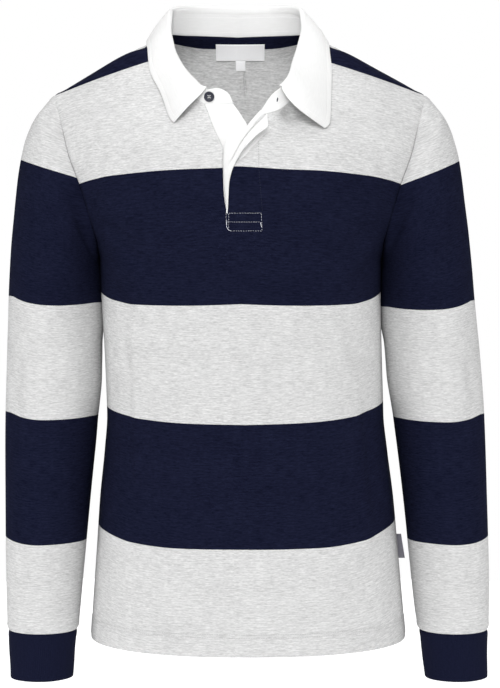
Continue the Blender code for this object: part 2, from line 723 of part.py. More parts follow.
def cloth(name, points, faces, wall, colour, collection, flip=False):
    """Make a sheet of cloth whose given surface is its outside."""
    mesh = bpy.data.meshes.new(name)
    mesh.from_pydata((swing(points.reshape(-1, 3)) * MM).tolist(), [], faces)
    work = bmesh.new()
    work.from_mesh(mesh)
    bmesh.ops.remove_doubles(work, verts=work.verts, dist=MERGE)
    if flip:
        bmesh.ops.reverse_faces(work, faces=work.faces)
    work.to_mesh(mesh)
    work.free()
    mesh.shade_smooth()
    made = bpy.data.objects.new(name, mesh)
    collection.objects.link(made)
    made.data.materials.append(material(colour))
    solid = made.modifiers.new("wall", "SOLIDIFY")
    solid.thickness = wall * MM
    solid.offset = -1
    return made


def new_collection(name, hidden=False):
    made = bpy.data.collections.new(name)
    bpy.context.scene.collection.children.link(made)
    made.hide_render = hidden
    return made


def make_front(collection):
    """Two halves joined below the slit."""
    share = front_shares()
    down = front_rows()
    right = half_front(-1, share[::-1], down)
    left = half_front(1, share, down)
    grid = np.concatenate([right, left], axis=1)
    half = len(share) - 1
    width = grid.shape[1] - 1
    faces = grid_faces(len(down) - 1, width)
    gap_faces = {row * width + half for row in range(len(down))}
    kept = [face for index, face in enumerate(faces) if index not in gap_faces]
    below = grid[:, half, 2] <= SLIT_END_Z
    grid[below, half + 1] = grid[below, half]
    return cloth("front_panel", grid, kept, JERSEY_WALL, "jersey", collection, flip=True)


def make_back(collection):
    half = shares(BACK_NECK_SHARE)
    share = np.concatenate([-half[:0:-1], half])
    down = back_rows()
    faces = grid_faces(len(down) - 1, len(share) - 1)
    return cloth("back_panel", back(share, down), faces, JERSEY_WALL, "jersey", collection)


def make_sleeves(collection):
    share = np.arange(SLEEVE_STRIPS) / SLEEVE_STRIPS
    along = np.concatenate([np.linspace(0, 0.22, 6), np.linspace(0.3, 1, 10)])
    sleeve_faces = grid_faces(len(along) - 1, SLEEVE_STRIPS, closed=True)
    cuff_faces = grid_faces(2, SLEEVE_STRIPS, closed=True)
    for side, word in ((-1, "right"), (1, "left")):
        arm = sleeve(share, along) * (side, 1, 1)
        cloth("sleeve_" + word, arm, sleeve_faces, JERSEY_WALL, "jersey", collection,
              flip=side < 0)
        band = cuff(share, np.linspace(0, 1, 3)) * (side, 1, 1)
        cloth("cuff_" + word, band, cuff_faces, CUFF_WALL, "cuff", collection, flip=side < 0)


def make_collar(collection):
    stand = collar_stand()
    faces = grid_faces(len(stand) - 1, stand.shape[1] - 1)
    cloth("collar_stand", stand, faces, COLLAR_WALL, "white_twill", collection, flip=True)
    fall = collar_fall()
    faces = grid_faces(len(fall) - 1, LEAF_STRIPS)
    cloth("collar_fall", fall, faces, COLLAR_WALL, "white_twill", collection)


def make_placket(collection):
    facing = placket_facing()
    faces = grid_faces(len(facing) - 1, facing.shape[1] - 1)
    cloth("placket_facing", facing, faces, PLACKET_WALL, "white_twill", collection)
    under = placket_under()
    faces = grid_faces(len(under) - 1, under.shape[1] - 1)
    cloth("placket_under", under, faces, PLACKET_WALL, "white_twill", collection, flip=True)


def make_labels(collection):
    label = inside_label(NECK_LABEL)
    faces = grid_faces(len(label) - 1, label.shape[1] - 1)
    cloth("neck_label", label, faces, TAPE_WALL, "label", collection, flip=True)
    tab = inside_label(SIZE_TAB)
    cloth("size_tab", tab, faces, TAPE_WALL, "label", collection, flip=True)
    side = side_tab()
    faces = grid_faces(len(side) - 1, side.shape[1] - 1)
    cloth("side_tab", side, faces, TAPE_WALL, "side_tab", collection)


def make_button(collection, cutters):
    """Turned disc with a raised rim, and four holes cut through it."""
    stand = collar_stand().reshape(-1, 3)
    reach = np.hypot(stand[:, 0] - BUTTON_X, stand[:, 2] - BUTTON_Z)
    stand_y = stand[reach < BUTTON_RADIUS + BUTTON_MARGIN, 1].min() - SEAM_GAP
    inner = BUTTON_RADIUS - BUTTON_RIM
    profile = ((0, 0), (BUTTON_RADIUS - BUTTON_ROUND, 0), (BUTTON_RADIUS, BUTTON_ROUND),
               (BUTTON_RADIUS, BUTTON_DEPTH - BUTTON_ROUND),
               (BUTTON_RADIUS - BUTTON_ROUND, BUTTON_DEPTH), (inner, BUTTON_DEPTH),
               (inner - BUTTON_SLOPE, BUTTON_DEPTH - BUTTON_DISH), (0, BUTTON_DEPTH - BUTTON_DISH))
    mesh = bpy.data.meshes.new("button")
    points = [(radius * MM, 0, height * MM) for radius, height in profile]
    edges = [(index, index + 1) for index in range(len(profile) - 1)]
    mesh.from_pydata(points, edges, [])
    button = bpy.data.objects.new("button", mesh)
    collection.objects.link(button)
    turned = button.modifiers.new("turned", "SCREW")
    turned.steps = BUTTON_SIDES
    turned.render_steps = BUTTON_SIDES
    turned.use_merge_vertices = True
    turned.merge_threshold = MERGE
    turned.use_normal_calculate = True
    place = swing(np.array([[BUTTON_X, stand_y, BUTTON_Z]]))[0] * MM
    button.location = tuple(place)
    button.rotation_euler = (math.radians(90), 0, 0)
    button.data.materials.append(material("button"))
    work = bmesh.new()
    for across in (-1, 1):
        for up in (-1, 1):
            made = bmesh.ops.create_cone(work, cap_ends=True, segments=BUTTON_HOLE_SIDES,
                                         radius1=BUTTON_HOLE_RADIUS * MM,
                                         radius2=BUTTON_HOLE_RADIUS * MM,
                                         depth=BUTTON_HOLE_DEPTH * MM)
            shift = (across * BUTTON_HOLE_OFFSET * MM, up * BUTTON_HOLE_OFFSET * MM, 0)
            bmesh.ops.translate(work, verts=made["verts"], vec=shift)
    holes_mesh = bpy.data.meshes.new("button_holes")
    work.to_mesh(holes_mesh)
    work.free()
    holes = bpy.data.objects.new("button_holes", holes_mesh)
    cutters.objects.link(holes)
    holes.location = button.location
    holes.rotation_euler = button.rotation_euler
    holes.display_type = "WIRE"
    holes.hide_render = True
    cut = button.modifiers.new("holes", "BOOLEAN")
    cut.operation = "DIFFERENCE"
    cut.solver = "EXACT"
    cut.object = holes


def main():
    for existing in list(bpy.data.objects):
        bpy.data.objects.remove(existing, do_unlink=True)
    collection = new_collection(COLLECTION)
    cutters = new_collection(CUTTERS, hidden=True)
    make_front(collection)
    make_back(collection)
    make_sleeves(collection)
    make_collar(collection)
    make_placket(collection)
    make_labels(collection)
    make_button(collection, cutters)


main()
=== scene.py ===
# %% [markdown]
# # A rugby shirt, filled out as it is when worn
#
# A long-sleeved rugby shirt in broad bands of light grey melange and dark navy jersey, with a white
# twill collar and a short placket that hangs open. It stands as if somebody wore it. It could be
# put on a figure and simulated, but its pose is already known, so each piece of cloth is worked out
# as a surface from a few sizes, and its folds are placed one by one. Sizes are in millimetres until a
# mesh is made.

import math

import bmesh
import bpy
import numpy as np
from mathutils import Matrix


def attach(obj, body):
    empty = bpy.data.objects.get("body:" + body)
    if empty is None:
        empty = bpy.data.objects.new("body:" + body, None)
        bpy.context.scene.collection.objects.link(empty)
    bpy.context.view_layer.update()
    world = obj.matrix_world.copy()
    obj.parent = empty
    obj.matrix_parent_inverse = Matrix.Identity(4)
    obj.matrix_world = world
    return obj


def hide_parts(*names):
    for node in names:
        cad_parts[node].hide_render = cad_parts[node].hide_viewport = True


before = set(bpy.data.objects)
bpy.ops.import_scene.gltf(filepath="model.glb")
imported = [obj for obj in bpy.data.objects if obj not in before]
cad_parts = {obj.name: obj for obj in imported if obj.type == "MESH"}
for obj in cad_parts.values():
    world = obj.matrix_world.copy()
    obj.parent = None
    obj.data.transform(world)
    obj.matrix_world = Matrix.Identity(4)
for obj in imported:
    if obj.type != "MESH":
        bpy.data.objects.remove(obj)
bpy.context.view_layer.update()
MM = 0.001
print("CAD nodes:", ", ".join(sorted(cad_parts)))

# %% [markdown]
# ## Camera, floor and light
#
# A shirt like this is shown from the front, at chest height, through a long lens that keeps its
# sides straight. The camera stands 2.5 m away and tips down by three degrees.

# %% Camera
EYE = (0.0115, -2.5, -0.2185)
TIPS_DOWN = 3.1344
LENS = 113.92


def new_object(name, data):
    """An object in the scene that holds a mesh, a lamp or a camera."""
    made = bpy.data.objects.new(name, data)
    bpy.context.scene.collection.objects.link(made)
    return made


def make_camera():
    """A camera at EYE that looks along +Y, tipped down by TIPS_DOWN degrees."""
    data = bpy.data.cameras.new("camera")
    data.lens = LENS
    data.sensor_width = 36.0
    data.sensor_fit = "AUTO"
    camera = new_object("camera", data)
    camera.location = EYE
    camera.rotation_euler = (math.radians(90 - TIPS_DOWN), 0, 0)
    bpy.context.scene.camera = camera


make_camera()

# %% [markdown]
# The studio is high key: a pale lit floor and a white surround, and broad soft lights above the
# camera, at each side, overhead and behind. The surround looks white but gives only part of its
# light, so the cloth keeps some shade under its folds. Bare lamps would give hard shadows instead.
# Only the inside of the neck, which the soft light hardly reaches, has a narrow spot.

# %% Floor, surround and lights
FLOOR_Z = -0.90
FLOOR_RADIUS = 1.7
FLOOR_GLOW = 0.50
SURROUND_LIGHT = 0.32
LIGHTS = (("name", "x", "y", "z", "size_x", "size_y", "watts"),
          ("front", -0.2, -2.2, 1.15, 0.9, 0.7, 34.0),
          ("side_left", -2.3, -1.1, 0.4, 1.4, 2.0, 19.0),
          ("side_right", 2.3, -1.1, 0.4, 1.4, 2.0, 17.0),
          ("overhead", 0.0, -0.6, 1.8, 2.0, 1.6, 14.0),
          ("back", 0.3, 2.6, 0.9, 1.8, 1.6, 26.0))
SHIRT_MIDDLE = (0.0, 0.0, -0.35)
SNOOT = {"place": (0.0, -2.0, 0.22), "aim": (0.0, 0.06, 0.0), "watts": 162.0, "cone": 6.0,
         "blend": 1.0, "radius": 0.12}


def records(table):
    """Each row of a table as a dictionary of its column names."""
    return [dict(zip(table[0], row)) for row in table[1:]]


def aim_lamp(lamp, place, aim):
    """Put a lamp at a place and turn it so that it faces a point."""
    away = np.array(aim) - np.array(place)
    flat = math.hypot(away[0], away[1])
    lamp.location = place
    lamp.rotation_euler = (math.atan2(flat, -away[2]), 0, math.atan2(-away[0], away[1]))


def make_floor():
    """A round, pale floor that glows a little."""
    mesh = bpy.data.meshes.new("floor")
    angle = np.linspace(0, 2 * math.pi, 64, endpoint=False)
    rim = np.stack([np.cos(angle), np.sin(angle), 0 * angle], axis=1) * FLOOR_RADIUS
    mesh.from_pydata((rim + (0, 0, FLOOR_Z)).tolist(), [], [tuple(range(len(rim)))])
    paint = bpy.data.materials.new("pale_floor")
    paint.use_nodes = True
    shader = paint.node_tree.nodes["Principled BSDF"].inputs
    for socket, value in (("Base Color", (0.9, 0.9, 0.9, 1)), ("Roughness", 0.9),
                          ("Emission Color", (1, 1, 1, 1)), ("Emission Strength", FLOOR_GLOW)):
        shader[socket].default_value = value
    mesh.materials.append(paint)
    new_object("floor", mesh)


def make_surround():
    """White at full strength where it is looked at, and SURROUND_LIGHT of that where it lights."""
    world = bpy.data.worlds.new("surround")
    world.use_nodes = True
    nodes, links = world.node_tree.nodes, world.node_tree.links
    nodes.clear()
    seen = nodes.new("ShaderNodeLightPath")
    strength = nodes.new("ShaderNodeMapRange")
    strength.inputs["To Min"].default_value = SURROUND_LIGHT
    strength.inputs["To Max"].default_value = 1.0
    light = nodes.new("ShaderNodeBackground")
    light.inputs["Color"].default_value = (1, 1, 1, 1)
    out = nodes.new("ShaderNodeOutputWorld")
    links.new(seen.outputs["Is Camera Ray"], strength.inputs["Value"])
    links.new(strength.outputs["Result"], light.inputs["Strength"])
    links.new(light.outputs["Background"], out.inputs["Surface"])
    bpy.context.scene.world = world


def make_lights():
    """Square lamps that face the middle of the shirt, and the spot for the neck."""
    for row in records(LIGHTS):
        data = bpy.data.lights.new(row["name"], "AREA")
        data.shape = "RECTANGLE"
        data.size, data.size_y, data.energy = row["size_x"], row["size_y"], row["watts"]
        aim_lamp(new_object(row["name"], data), (row["x"], row["y"], row["z"]), SHIRT_MIDDLE)
    data = bpy.data.lights.new("snoot", "SPOT")
    data.energy, data.spot_size = SNOOT["watts"], math.radians(SNOOT["cone"])
    data.spot_blend, data.shadow_soft_size = SNOOT["blend"], SNOOT["radius"]
    aim_lamp(new_object("snoot", data), SNOOT["place"], SNOOT["aim"])


make_floor()
make_surround()
make_lights()
bpy.context.scene.view_settings.view_transform = "Standard"
print("floor at z = %.2f m, %d soft lights" % (FLOOR_Z, len(records(LIGHTS))))

# %% [markdown]
# ## From a few sizes to a smooth surface
#
# A cutter grades a pattern from a short list of sizes. Here too every form comes from a short table
# with named columns. A monotone cubic carries each column smoothly from row to row and, unlike a
# plain spline, never swings past the sizes that it is given.

# %% Smooth columns
def columns(table):
    """A table as a dictionary of arrays, one for each named column."""
    values = np.array(table[1:], dtype=float)
    return {name: values[:, index] for index, name in enumerate(table[0])}


def smooth(knots, values, at):
    """Monotone cubic: Hermite pieces whose slope at a knot is the weighted harmonic mean of the
    slopes on its two sides, or 0 where these differ in sign."""
    knots = np.asarray(knots, dtype=float)
    values = np.asarray(values, dtype=float)
    at = np.clip(np.asarray(at, dtype=float), knots[0], knots[-1])
    step = np.diff(knots).reshape((-1,) + (1,) * (values.ndim - 1))
    slope = np.diff(values, axis=0) / step
    after_weight = 2 * step[1:] + step[:-1]
    before_weight = step[1:] + 2 * step[:-1]
    same_way = slope[:-1] * slope[1:] > 0
    before = np.where(same_way, slope[:-1], 1)
    after = np.where(same_way, slope[1:], 1)
    mean = (after_weight + before_weight) / (after_weight / before + before_weight / after)
    inner = np.where(same_way, mean, 0)
    tangent = np.concatenate([1.5 * slope[:1] - 0.5 * inner[:1], inner,
                              1.5 * slope[-1:] - 0.5 * inner[-1:]])
    index = np.clip(np.searchsorted(knots, at, side="right") - 1, 0, len(knots) - 2)
    shape = index.shape + (1,) * (values.ndim - 1)
    width = np.diff(knots)[index].reshape(shape)
    part = ((at - knots[index])).reshape(shape) / width
    return ((1 + 2 * part) * (1 - part) ** 2 * values[index]
            + part ** 2 * (3 - 2 * part) * values[index + 1]
            + part * (1 - part) ** 2 * width * tangent[index]
            + part ** 2 * (part - 1) * width * tangent[index + 1])


def at_height(table, name, z):
    """A column of a table whose rows go down in z, at the heights z."""
    table = columns(table)
    return smooth(-table["z"], table[name], -np.asarray(z, dtype=float))


def points_of(table, prefix=""):
    """The x, y and z columns of a table side by side."""
    return np.stack([table[prefix + axis] for axis in "xyz"], axis=-1)


def reach_along(points):
    """Distance along a line of points to each of them."""
    return np.concatenate([[0], np.cumsum(np.linalg.norm(np.diff(points, axis=0), axis=1))])


def walk(distance, points, moved=None):
    """Points at distances along a line, or the same places of the line that it was moved to."""
    line = points if moved is None else moved
    length = reach_along(points)
    return np.stack([np.interp(distance, length, line[:, axis]) for axis in range(3)], axis=-1)


def curve(table, share):
    """Point at a share of the length of the smooth curve through a table of x, y, z."""
    points = np.array(table[1:], dtype=float)
    length = reach_along(points)
    return smooth(length, points, np.asarray(share) * length[-1])


def ease(value):
    """Smooth step from 0 to 1: 3 t^2 - 2 t^3."""
    value = np.clip(value, 0, 1)
    return value * value * (3 - 2 * value)


def unit(vectors):
    """Vectors divided by their lengths."""
    return vectors / np.maximum(np.linalg.norm(vectors, axis=-1, keepdims=True), 1e-9)


def signed_power(value, power):
    """|value|^power with the sign of the value."""
    return np.sign(value) * np.abs(value) ** power


def normals(grid):
    """Unit normals: the cross product of the grid's slopes along its columns and its rows."""
    return unit(np.cross(np.gradient(grid, axis=1), np.gradient(grid, axis=0)))


def front_normals(grid):
    """Unit normals, each turned so that it faces the front, -Y."""
    away = normals(grid)
    return away * -np.sign(away[..., 1:2])


print("checked: smooth(1.5) between 0, 1, 4 is %.3f" % smooth([0, 1, 2], [0, 1, 4], 1.5))

# %% [markdown]
# ## The form of the body
#
# The front and back are cut as flat panels, but a worn shirt is a tube that is flatter in front and
# behind and turns quickly at its sides. Each level section is therefore part of a squared ellipse,
# and the sections run down the armhole and then down the side seam, which both panels share.
# Scanned points would carry the same shape, but a named size can be changed.

# %% Tables of the body
SWING = (("z", "shift"),
         (40, -3), (-20, -3), (-80, 0), (-200, 0.5), (-290, 1.5), (-380, 4.5), (-430, 6),
         (-530, 7.5), (-640, 8.8), (-740, 10))
NECK_BACK = (("x", "y", "z"),
             (0, 72, 1), (38, 64, 1.8), (64, 42, 0.8), (77, 10, -1), (77.5, -14, -10), (77, -32, -27))
NECK_FRONT_RIGHT = (("x", "y", "z"),
                    (77, -32, -27), (73, -55, -49), (62, -82, -68), (39, -104.5, -86))
NECK_FRONT_LEFT = (("x", "y", "z"),
                   (77, -32, -27), (73, -55, -49), (64, -82, -70), (50, -99, -87),
                   (28, -107.5, -98))
SHOULDER_SEAM = (("x", "y", "z"),
                 (77, -32, -27), (104, -31, -35), (158, -21, -52), (212, -5, -71))
SIDE_SEAM = (("down", "x", "front_y", "back_y", "front_dip"),
             (264, 160.5, -129, 105, 0), (310, 159.5, -127, 101, 0), (380, 158.5, -122, 92, 0),
             (434, 158.5, -119, 88, 0), (475, 162, -118, 91, 0), (531, 168.5, -120, 100, 0),
             (587, 173, -123, 109, 0), (643, 177.5, -127, 115, 0.5), (690, 181, -130, 118, 2.2))
SEAM_Y, SEAM_ANGLE, BODY_SQUARE = 0.15, 90, 2.4
FRONT = (("down", "z_mid", "y_mid", "x_edge", "y_edge", "z_edge", "turn", "square"),
         (71, -88, -106, 212, -5, -71, 62, 2.2),
         (80, -94, -108, 210.5, -13, -77, 61.5, 2.2),
         (100, -109, -112, 203.5, -28, -99, 60, 2.2),
         (141, -142, -118, 192, -50, -141, 60, 2.2),
         (175, -176, -123, 179.5, -58, -175, 63, 2.2),
         (208, -208, -127, 170, -58, -208, 66, 2.3),
         (226, -226, -128, 165, -50, -226, 71, 2.35),
         (240, -240, -129, 161.8, -37, -240, 77.5, BODY_SQUARE),
         (254, -254, -129, 160.8, -16, -254, 84.5, BODY_SQUARE),
         *((down, -down - dip, front_y, x, -SEAM_Y, -down, SEAM_ANGLE, BODY_SQUARE)
           for down, x, front_y, _, dip in SIDE_SEAM[1:]))
BACK = (FRONT[0],
        (135, -108, 102, 193.5, 52, -135, 55, 2.2),
        (172, -158, 107, 180.5, 61, -172, 58, 2.2),
        (208, -203, 108, 170, 59, -208, 61, 2.3),
        (226, -223, 108, 165, 50, -226, 66, 2.35),
        (240, -239, 107, 161.8, 37, -240, 74, BODY_SQUARE),
        (254, -254, 106, 160.8, 16, -254, 84, BODY_SQUARE),
        *((down, -down, back_y, x, SEAM_Y, -down, SEAM_ANGLE, BODY_SQUARE)
          for down, x, _, back_y, _ in SIDE_SEAM[1:]))
RIDGE = (("share", "x", "y", "z"),
         (0, 0, 82, -16), (0.16, 40, 76, -12), (0.24, 78, 43, -5), (0.32, 90, 12, -2),
         (0.4, 94, -3, -7), (0.47, 98, -9, -14), (0.62, 122, -3, -22), (0.8, 163, 4, -43),
         (1, 210.5, 10, -71.4))
YOKE = (("share", "x", "y", "z"),
        (0, 0, 89, -34), (0.16, 44, 85, -29), (0.24, 76, 68, -22), (0.32, 93, 46, -15),
        (0.4, 103, 31, -12), (0.47, 111, 23, -14), (0.62, 132, 21, -28), (0.8, 166, 22, -50),
        (1, 207, 24, -84))
BLADE = (("share", "x", "y", "z"),
         (0, 0, 97, -64), (0.16, 44, 94, -60), (0.24, 66, 89, -56), (0.32, 86, 81, -51),
         (0.4, 103, 71, -50), (0.47, 116, 63, -52), (0.62, 140, 53, -61), (0.8, 169, 45, -78),
         (1, 201, 38, -108))
SHOULDER_TIP, RIDGE_DOWN, YOKE_DOWN, BLADE_DOWN = 71, 84, 97, 115
UNDERARM, HEM, NECK_FADE_END = 264, 690, 175
FRONT_NECK_SHARE, BACK_NECK_SHARE = 0.38, 0.47
SLIT_END_Z = -205
SLIT = (("z", "right_edge", "left_edge"),
        (-86, -39, 27), (-98, -34, 21), (-104, -32, 16.5), (-117, -26.5, 5.5), (-128, -21, -2),
        (-137, -18, -7), (-148, -18.6, -10.5), (-160, -18.4, -12.4), (-177, -18, -13),
        (-190, -17, -13.6), (-198, -15.8, -13.9), (-205, -14.3, -14.3), (-240, -14.3, -14.3))
SECTION_STEPS, CHEST_MIDDLE = 320, (0, 0, -150)


# %% Level sections of the body
def swing(points):
    """Points moved sideways by the swing of the hanging shirt at their height."""
    moved = np.array(points, dtype=float)
    moved[..., 0] += at_height(SWING, "shift", moved[..., 2])
    return moved


def section(table, down):
    """All columns of a body table at places down the edge."""
    table = columns(table)
    return {name: smooth(table["down"], values, down) for name, values in table.items()}


def arc(params, angle):
    """x = edge * sin^p, y = mid and edge depths mixed by cos^p, with p = 2 / square."""
    turn = np.radians(params["turn"])
    power = 2 / params["square"]
    across = signed_power(np.sin(angle * turn), power) / np.sin(turn) ** power
    end_depth = np.abs(np.cos(turn)) ** power
    depth = (np.abs(np.cos(angle * turn)) ** power - end_depth) / (1 - end_depth)
    return np.stack([params["x_edge"] * across,
                     params["y_edge"] + (params["y_mid"] - params["y_edge"]) * depth,
                     params["z_mid"] + (params["z_edge"] - params["z_mid"]) * across ** 2], axis=-1)


def arc_between(params, low_x, high_x, share):
    """Points of a section from one x to another, evenly spaced along it."""
    angle = np.linspace(-1, 1, SECTION_STEPS)
    x = arc(params, angle)[:, 0]
    angle = np.linspace(*np.interp((low_x, high_x), x, angle), SECTION_STEPS)
    length = reach_along(arc(params, angle))
    return arc(params, np.interp(share * length[-1], length, angle))


# %% Surface of the front
def front_top(side, share):
    """Top edge of half the front: the neckline from the slit, then the shoulder seam."""
    neck = NECK_FRONT_LEFT if side > 0 else NECK_FRONT_RIGHT
    on_neck = curve(neck, 1 - np.clip(share / FRONT_NECK_SHARE, 0, 1))
    past_neck = (share - FRONT_NECK_SHARE) / (1 - FRONT_NECK_SHARE)
    on_shoulder = curve(SHOULDER_SEAM, np.clip(past_neck, 0, 1))
    return np.where((share < FRONT_NECK_SHARE)[:, None], on_neck, on_shoulder) * (side, 1, 1)


def half_front(side, share, down):
    """Half of the front: share 0 at the slit and 1 at the edge. The first section is moved onto
    the real top edge, and the ones below it less and less."""
    edge_name = "left_edge" if side > 0 else "right_edge"
    along = share if side > 0 else 1 - share
    tilt = front_top(side, np.zeros(1))[0, 2] - columns(FRONT)["z_mid"][0]
    fade = np.clip((NECK_FADE_END - down) / (NECK_FADE_END - SHOULDER_TIP), 0, 1) ** 2

    def row(place, weight):
        """The section at a place, with its middle raised by a weight of the neckline's tilt."""
        params = {name: float(value) for name, value in section(FRONT, place).items()}
        params["z_mid"] += tilt * weight
        inner_x = float(at_height(SLIT, edge_name, params["z_mid"]))
        return arc_between(params, *sorted((inner_x, side * params["x_edge"])), along)

    grid = np.array([row(place, weight) for place, weight in zip(down, fade)])
    missing = front_top(side, share) - row(SHOULDER_TIP, 1)
    return grid + missing[None] * fade[:, None, None]


probe = half_front(1, np.linspace(0, 1, 5), np.linspace(SHOULDER_TIP, HEM, 4))
print("front from", probe[0, 0].round(), "to", probe[-1, -1].round())


# %% Surface of the back
def back(share, down):
    """Back panel: share -1 to 1 across. Its top edge, three rows over the shoulder and the level
    sections below are joined by a smooth curve down each column."""
    size = np.abs(share)
    side = np.stack([np.where(share < 0, -1.0, 1.0), np.ones_like(share), np.ones_like(share)], -1)
    on_neck = curve(NECK_BACK, np.clip(size / BACK_NECK_SHARE, 0, 1))
    past_neck = (size - BACK_NECK_SHARE) / (1 - BACK_NECK_SHARE)
    on_shoulder = curve(SHOULDER_SEAM, np.clip(past_neck, 0, 1))
    rows = [np.where((size < BACK_NECK_SHARE)[:, None], on_neck, on_shoulder)]
    for table in (RIDGE, YOKE, BLADE):
        table = columns(table)
        rows.append(smooth(table["share"], points_of(table), size))
    for params in records(BACK):
        rows.append(arc_between(params, 0.0, params["x_edge"], size))
    knots = [SHOULDER_TIP, RIDGE_DOWN, YOKE_DOWN, BLADE_DOWN, *columns(BACK)["down"]]
    return smooth(knots, np.array(rows) * side[None], down)


probe = back(np.linspace(-1, 1, 5), np.linspace(SHOULDER_TIP, HEM, 4))
print("back from", probe[0, 0].round(), "to", probe[-1, -1].round())

# %% [markdown]
# ## Folds
#
# A filled-out jersey shirt has few folds: some that start at the armpit, long upright ones where
# the flat front turns to the side, and soft drapes above the hem. Each fold is a ridge or a trough
# between two points with a bow, a width and a height that comes and goes along it. A simulation
# would make folds too, but not these ones.

# %% Fold tables and their heights
FOLD = ("x0", "z0", "x1", "z1", "bow", "width", "height")
FRONT_FOLDS = (FOLD,
               (-120, -300, -116, -560, 5, 6, 2.1), (-132, -320, -128, -520, -4, 8, -2.1),
               (122, -400, 134, -610, -5, 6, 2.1), (136, -380, 146, -560, 4, 8, -2.0),
               (92, -285, 134, -415, 8, 7, 1.8), (108, -280, 150, -400, 6, 8, -1.7),
               (-166, -232, -96, -312, -10, 10, 2.2), (-170, -212, -110, -262, -8, 9, -2.0),
               (-158, -262, -118, -350, -6, 8, -1.6), (164, -232, 92, -318, 10, 10, 2.0),
               (168, -210, 118, -256, 8, 9, -1.8), (-150, -120, -160, -215, 6, 9, -1.6),
               (-138, -130, -150, -230, 6, 10, 1.2), (152, -125, 160, -215, -6, 9, -1.6),
               (140, -135, 150, -230, -6, 10, 1.2), (-60, -380, -70, -640, 12, 24, 1.2),
               (40, -330, 58, -600, -10, 26, 1.2), (-10, -470, -4, -680, 6, 20, -1.1),
               (92, -520, 100, -688, 6, 16, 1.4), (-112, -560, -120, -688, -5, 14, -1.2),
               (-30, -100, -66, -150, -4, 12, -1.4), (46, -112, 74, -160, 5, 12, -1.5))
BACK_FOLDS = (FOLD,
              (-158, -236, -70, -330, 12, 12, 2.6), (-162, -216, -80, -276, 10, 10, -2.2),
              (160, -236, 64, -336, -12, 12, 2.6), (164, -214, 84, -270, -10, 10, -2.2),
              (-40, -120, -52, -300, 10, 20, 1.6), (44, -130, 60, -320, -10, 20, 1.6),
              (-92, -320, -104, -560, 10, 14, 2.0), (98, -330, 112, -580, -10, 14, 2.0),
              (-26, -380, -20, -600, 8, 16, -1.8), (30, -400, 38, -640, -8, 18, 1.8),
              (-66, -450, -76, -680, 8, 15, 1.6), (72, -470, 84, -684, -6, 14, -1.6),
              (-130, -380, -140, -560, -5, 8, -1.6), (134, -360, 146, -560, 5, 8, -1.6),
              (-120, -84, -150, -170, -8, 14, -1.6), (124, -88, 150, -170, 8, 14, -1.6),
              (-60, -428, 70, -440, -10, 11, -1.6), (-80, -462, 54, -470, 8, 12, 1.4),
              (7, -36, 8.5, -86, 0.8, 1.1, 2.8), (0, -52, 1.5, -60, 0, 1.0, 1.2))
SLEEVE_FOLDS = (FOLD,
                (-62, -110, -30, -240, -8, 10, -1.8), (-48, -120, -14, -260, -8, 10, 1.6),
                (26, -200, -10, -330, 7, 9, 1.8), (40, -215, 12, -330, 6, 8, -1.6),
                (30, -330, 34, -440, 6, 7, 1.8), (22, -340, 24, -450, -5, 7, -1.6),
                (44, -350, 40, -470, 3, 7, -1.8), (-50, -200, -56, -330, -4, 8, 1.4),
                (-30, -380, 28, -410, 8, 9, -1.2), (-34, -430, 20, -452, -6, 10, 1.2),
                (4, -470, 10, -640, 6, 11, 1.2), (-22, -500, -16, -660, 5, 11, -1.0),
                (26, -560, 20, -672, -4, 8, 1.1), (-40, -600, -30, -676, 3, 8, 1.0))
FOLD_ENDS = 0.35


def fold_height(across, z, table):
    """Sum over the folds of height * rise * uneven * exp(-(distance / width)^2), where distance is
    taken from a bowed line, and rise eases in and out over FOLD_ENDS of its length at each end."""
    total = np.zeros(np.broadcast(across, z).shape)
    for fold in records(table):
        run_x, run_z = fold["x1"] - fold["x0"], fold["z1"] - fold["z0"]
        length = math.hypot(run_x, run_z)
        along = ((across - fold["x0"]) * run_x + (z - fold["z0"]) * run_z) / length ** 2
        beside = ((across - fold["x0"]) * run_z - (z - fold["z0"]) * run_x) / length
        beside = beside - fold["bow"] * 4 * along * (1 - along)
        rise = ease(along / FOLD_ENDS) * ease((1 - along) / FOLD_ENDS)
        uneven = 1 + 0.3 * np.sin(5.1 * along + fold["x0"])
        width = fold["width"] * (0.75 + 0.5 * np.clip(along, 0, 1))
        total += fold["height"] * rise * uneven * np.exp(-(beside / width) ** 2)
    return total


def drape(across, z):
    """Slow unevenness of hanging cloth: three long waves that cross each other."""
    return (0.45 * np.sin(across / 21 + z / 160 + 0.6) * np.sin(z / 74 + 1.1)
            + 0.35 * np.sin(across / 34 - z / 52) + 0.25 * np.sin(across / 13 + z / 210 + 2))


print("folds: %d front, %d back, %d on each sleeve"
      % tuple(len(records(table)) for table in (FRONT_FOLDS, BACK_FOLDS, SLEEVE_FOLDS)))

# %% [markdown]
# ## Cloth with a wall
#
# Cloth is a sheet with an outside and an inside. A plane with a Solidify modifier has both, but not
# the turned-in seam allowances and doubled hems that make a garment look sewn. So a piece is kept
# as two grids of points, which are carried on past an edge where the cloth is turned in, and one
# mesh joins them. Its UV map holds the fabric's own coordinates in metres.

# %% Cloth with turned edges
def faced(array, side):
    """The array with one of its four sides brought to the end of its rows."""
    if side in ("left", "right"):
        array = np.swapaxes(array, 0, 1)
    return array[::-1] if side in ("left", "top") else array


def unfaced(array, side):
    """The reverse of faced."""
    if side in ("left", "top"):
        array = array[::-1]
    return np.swapaxes(array, 0, 1) if side in ("left", "right") else array


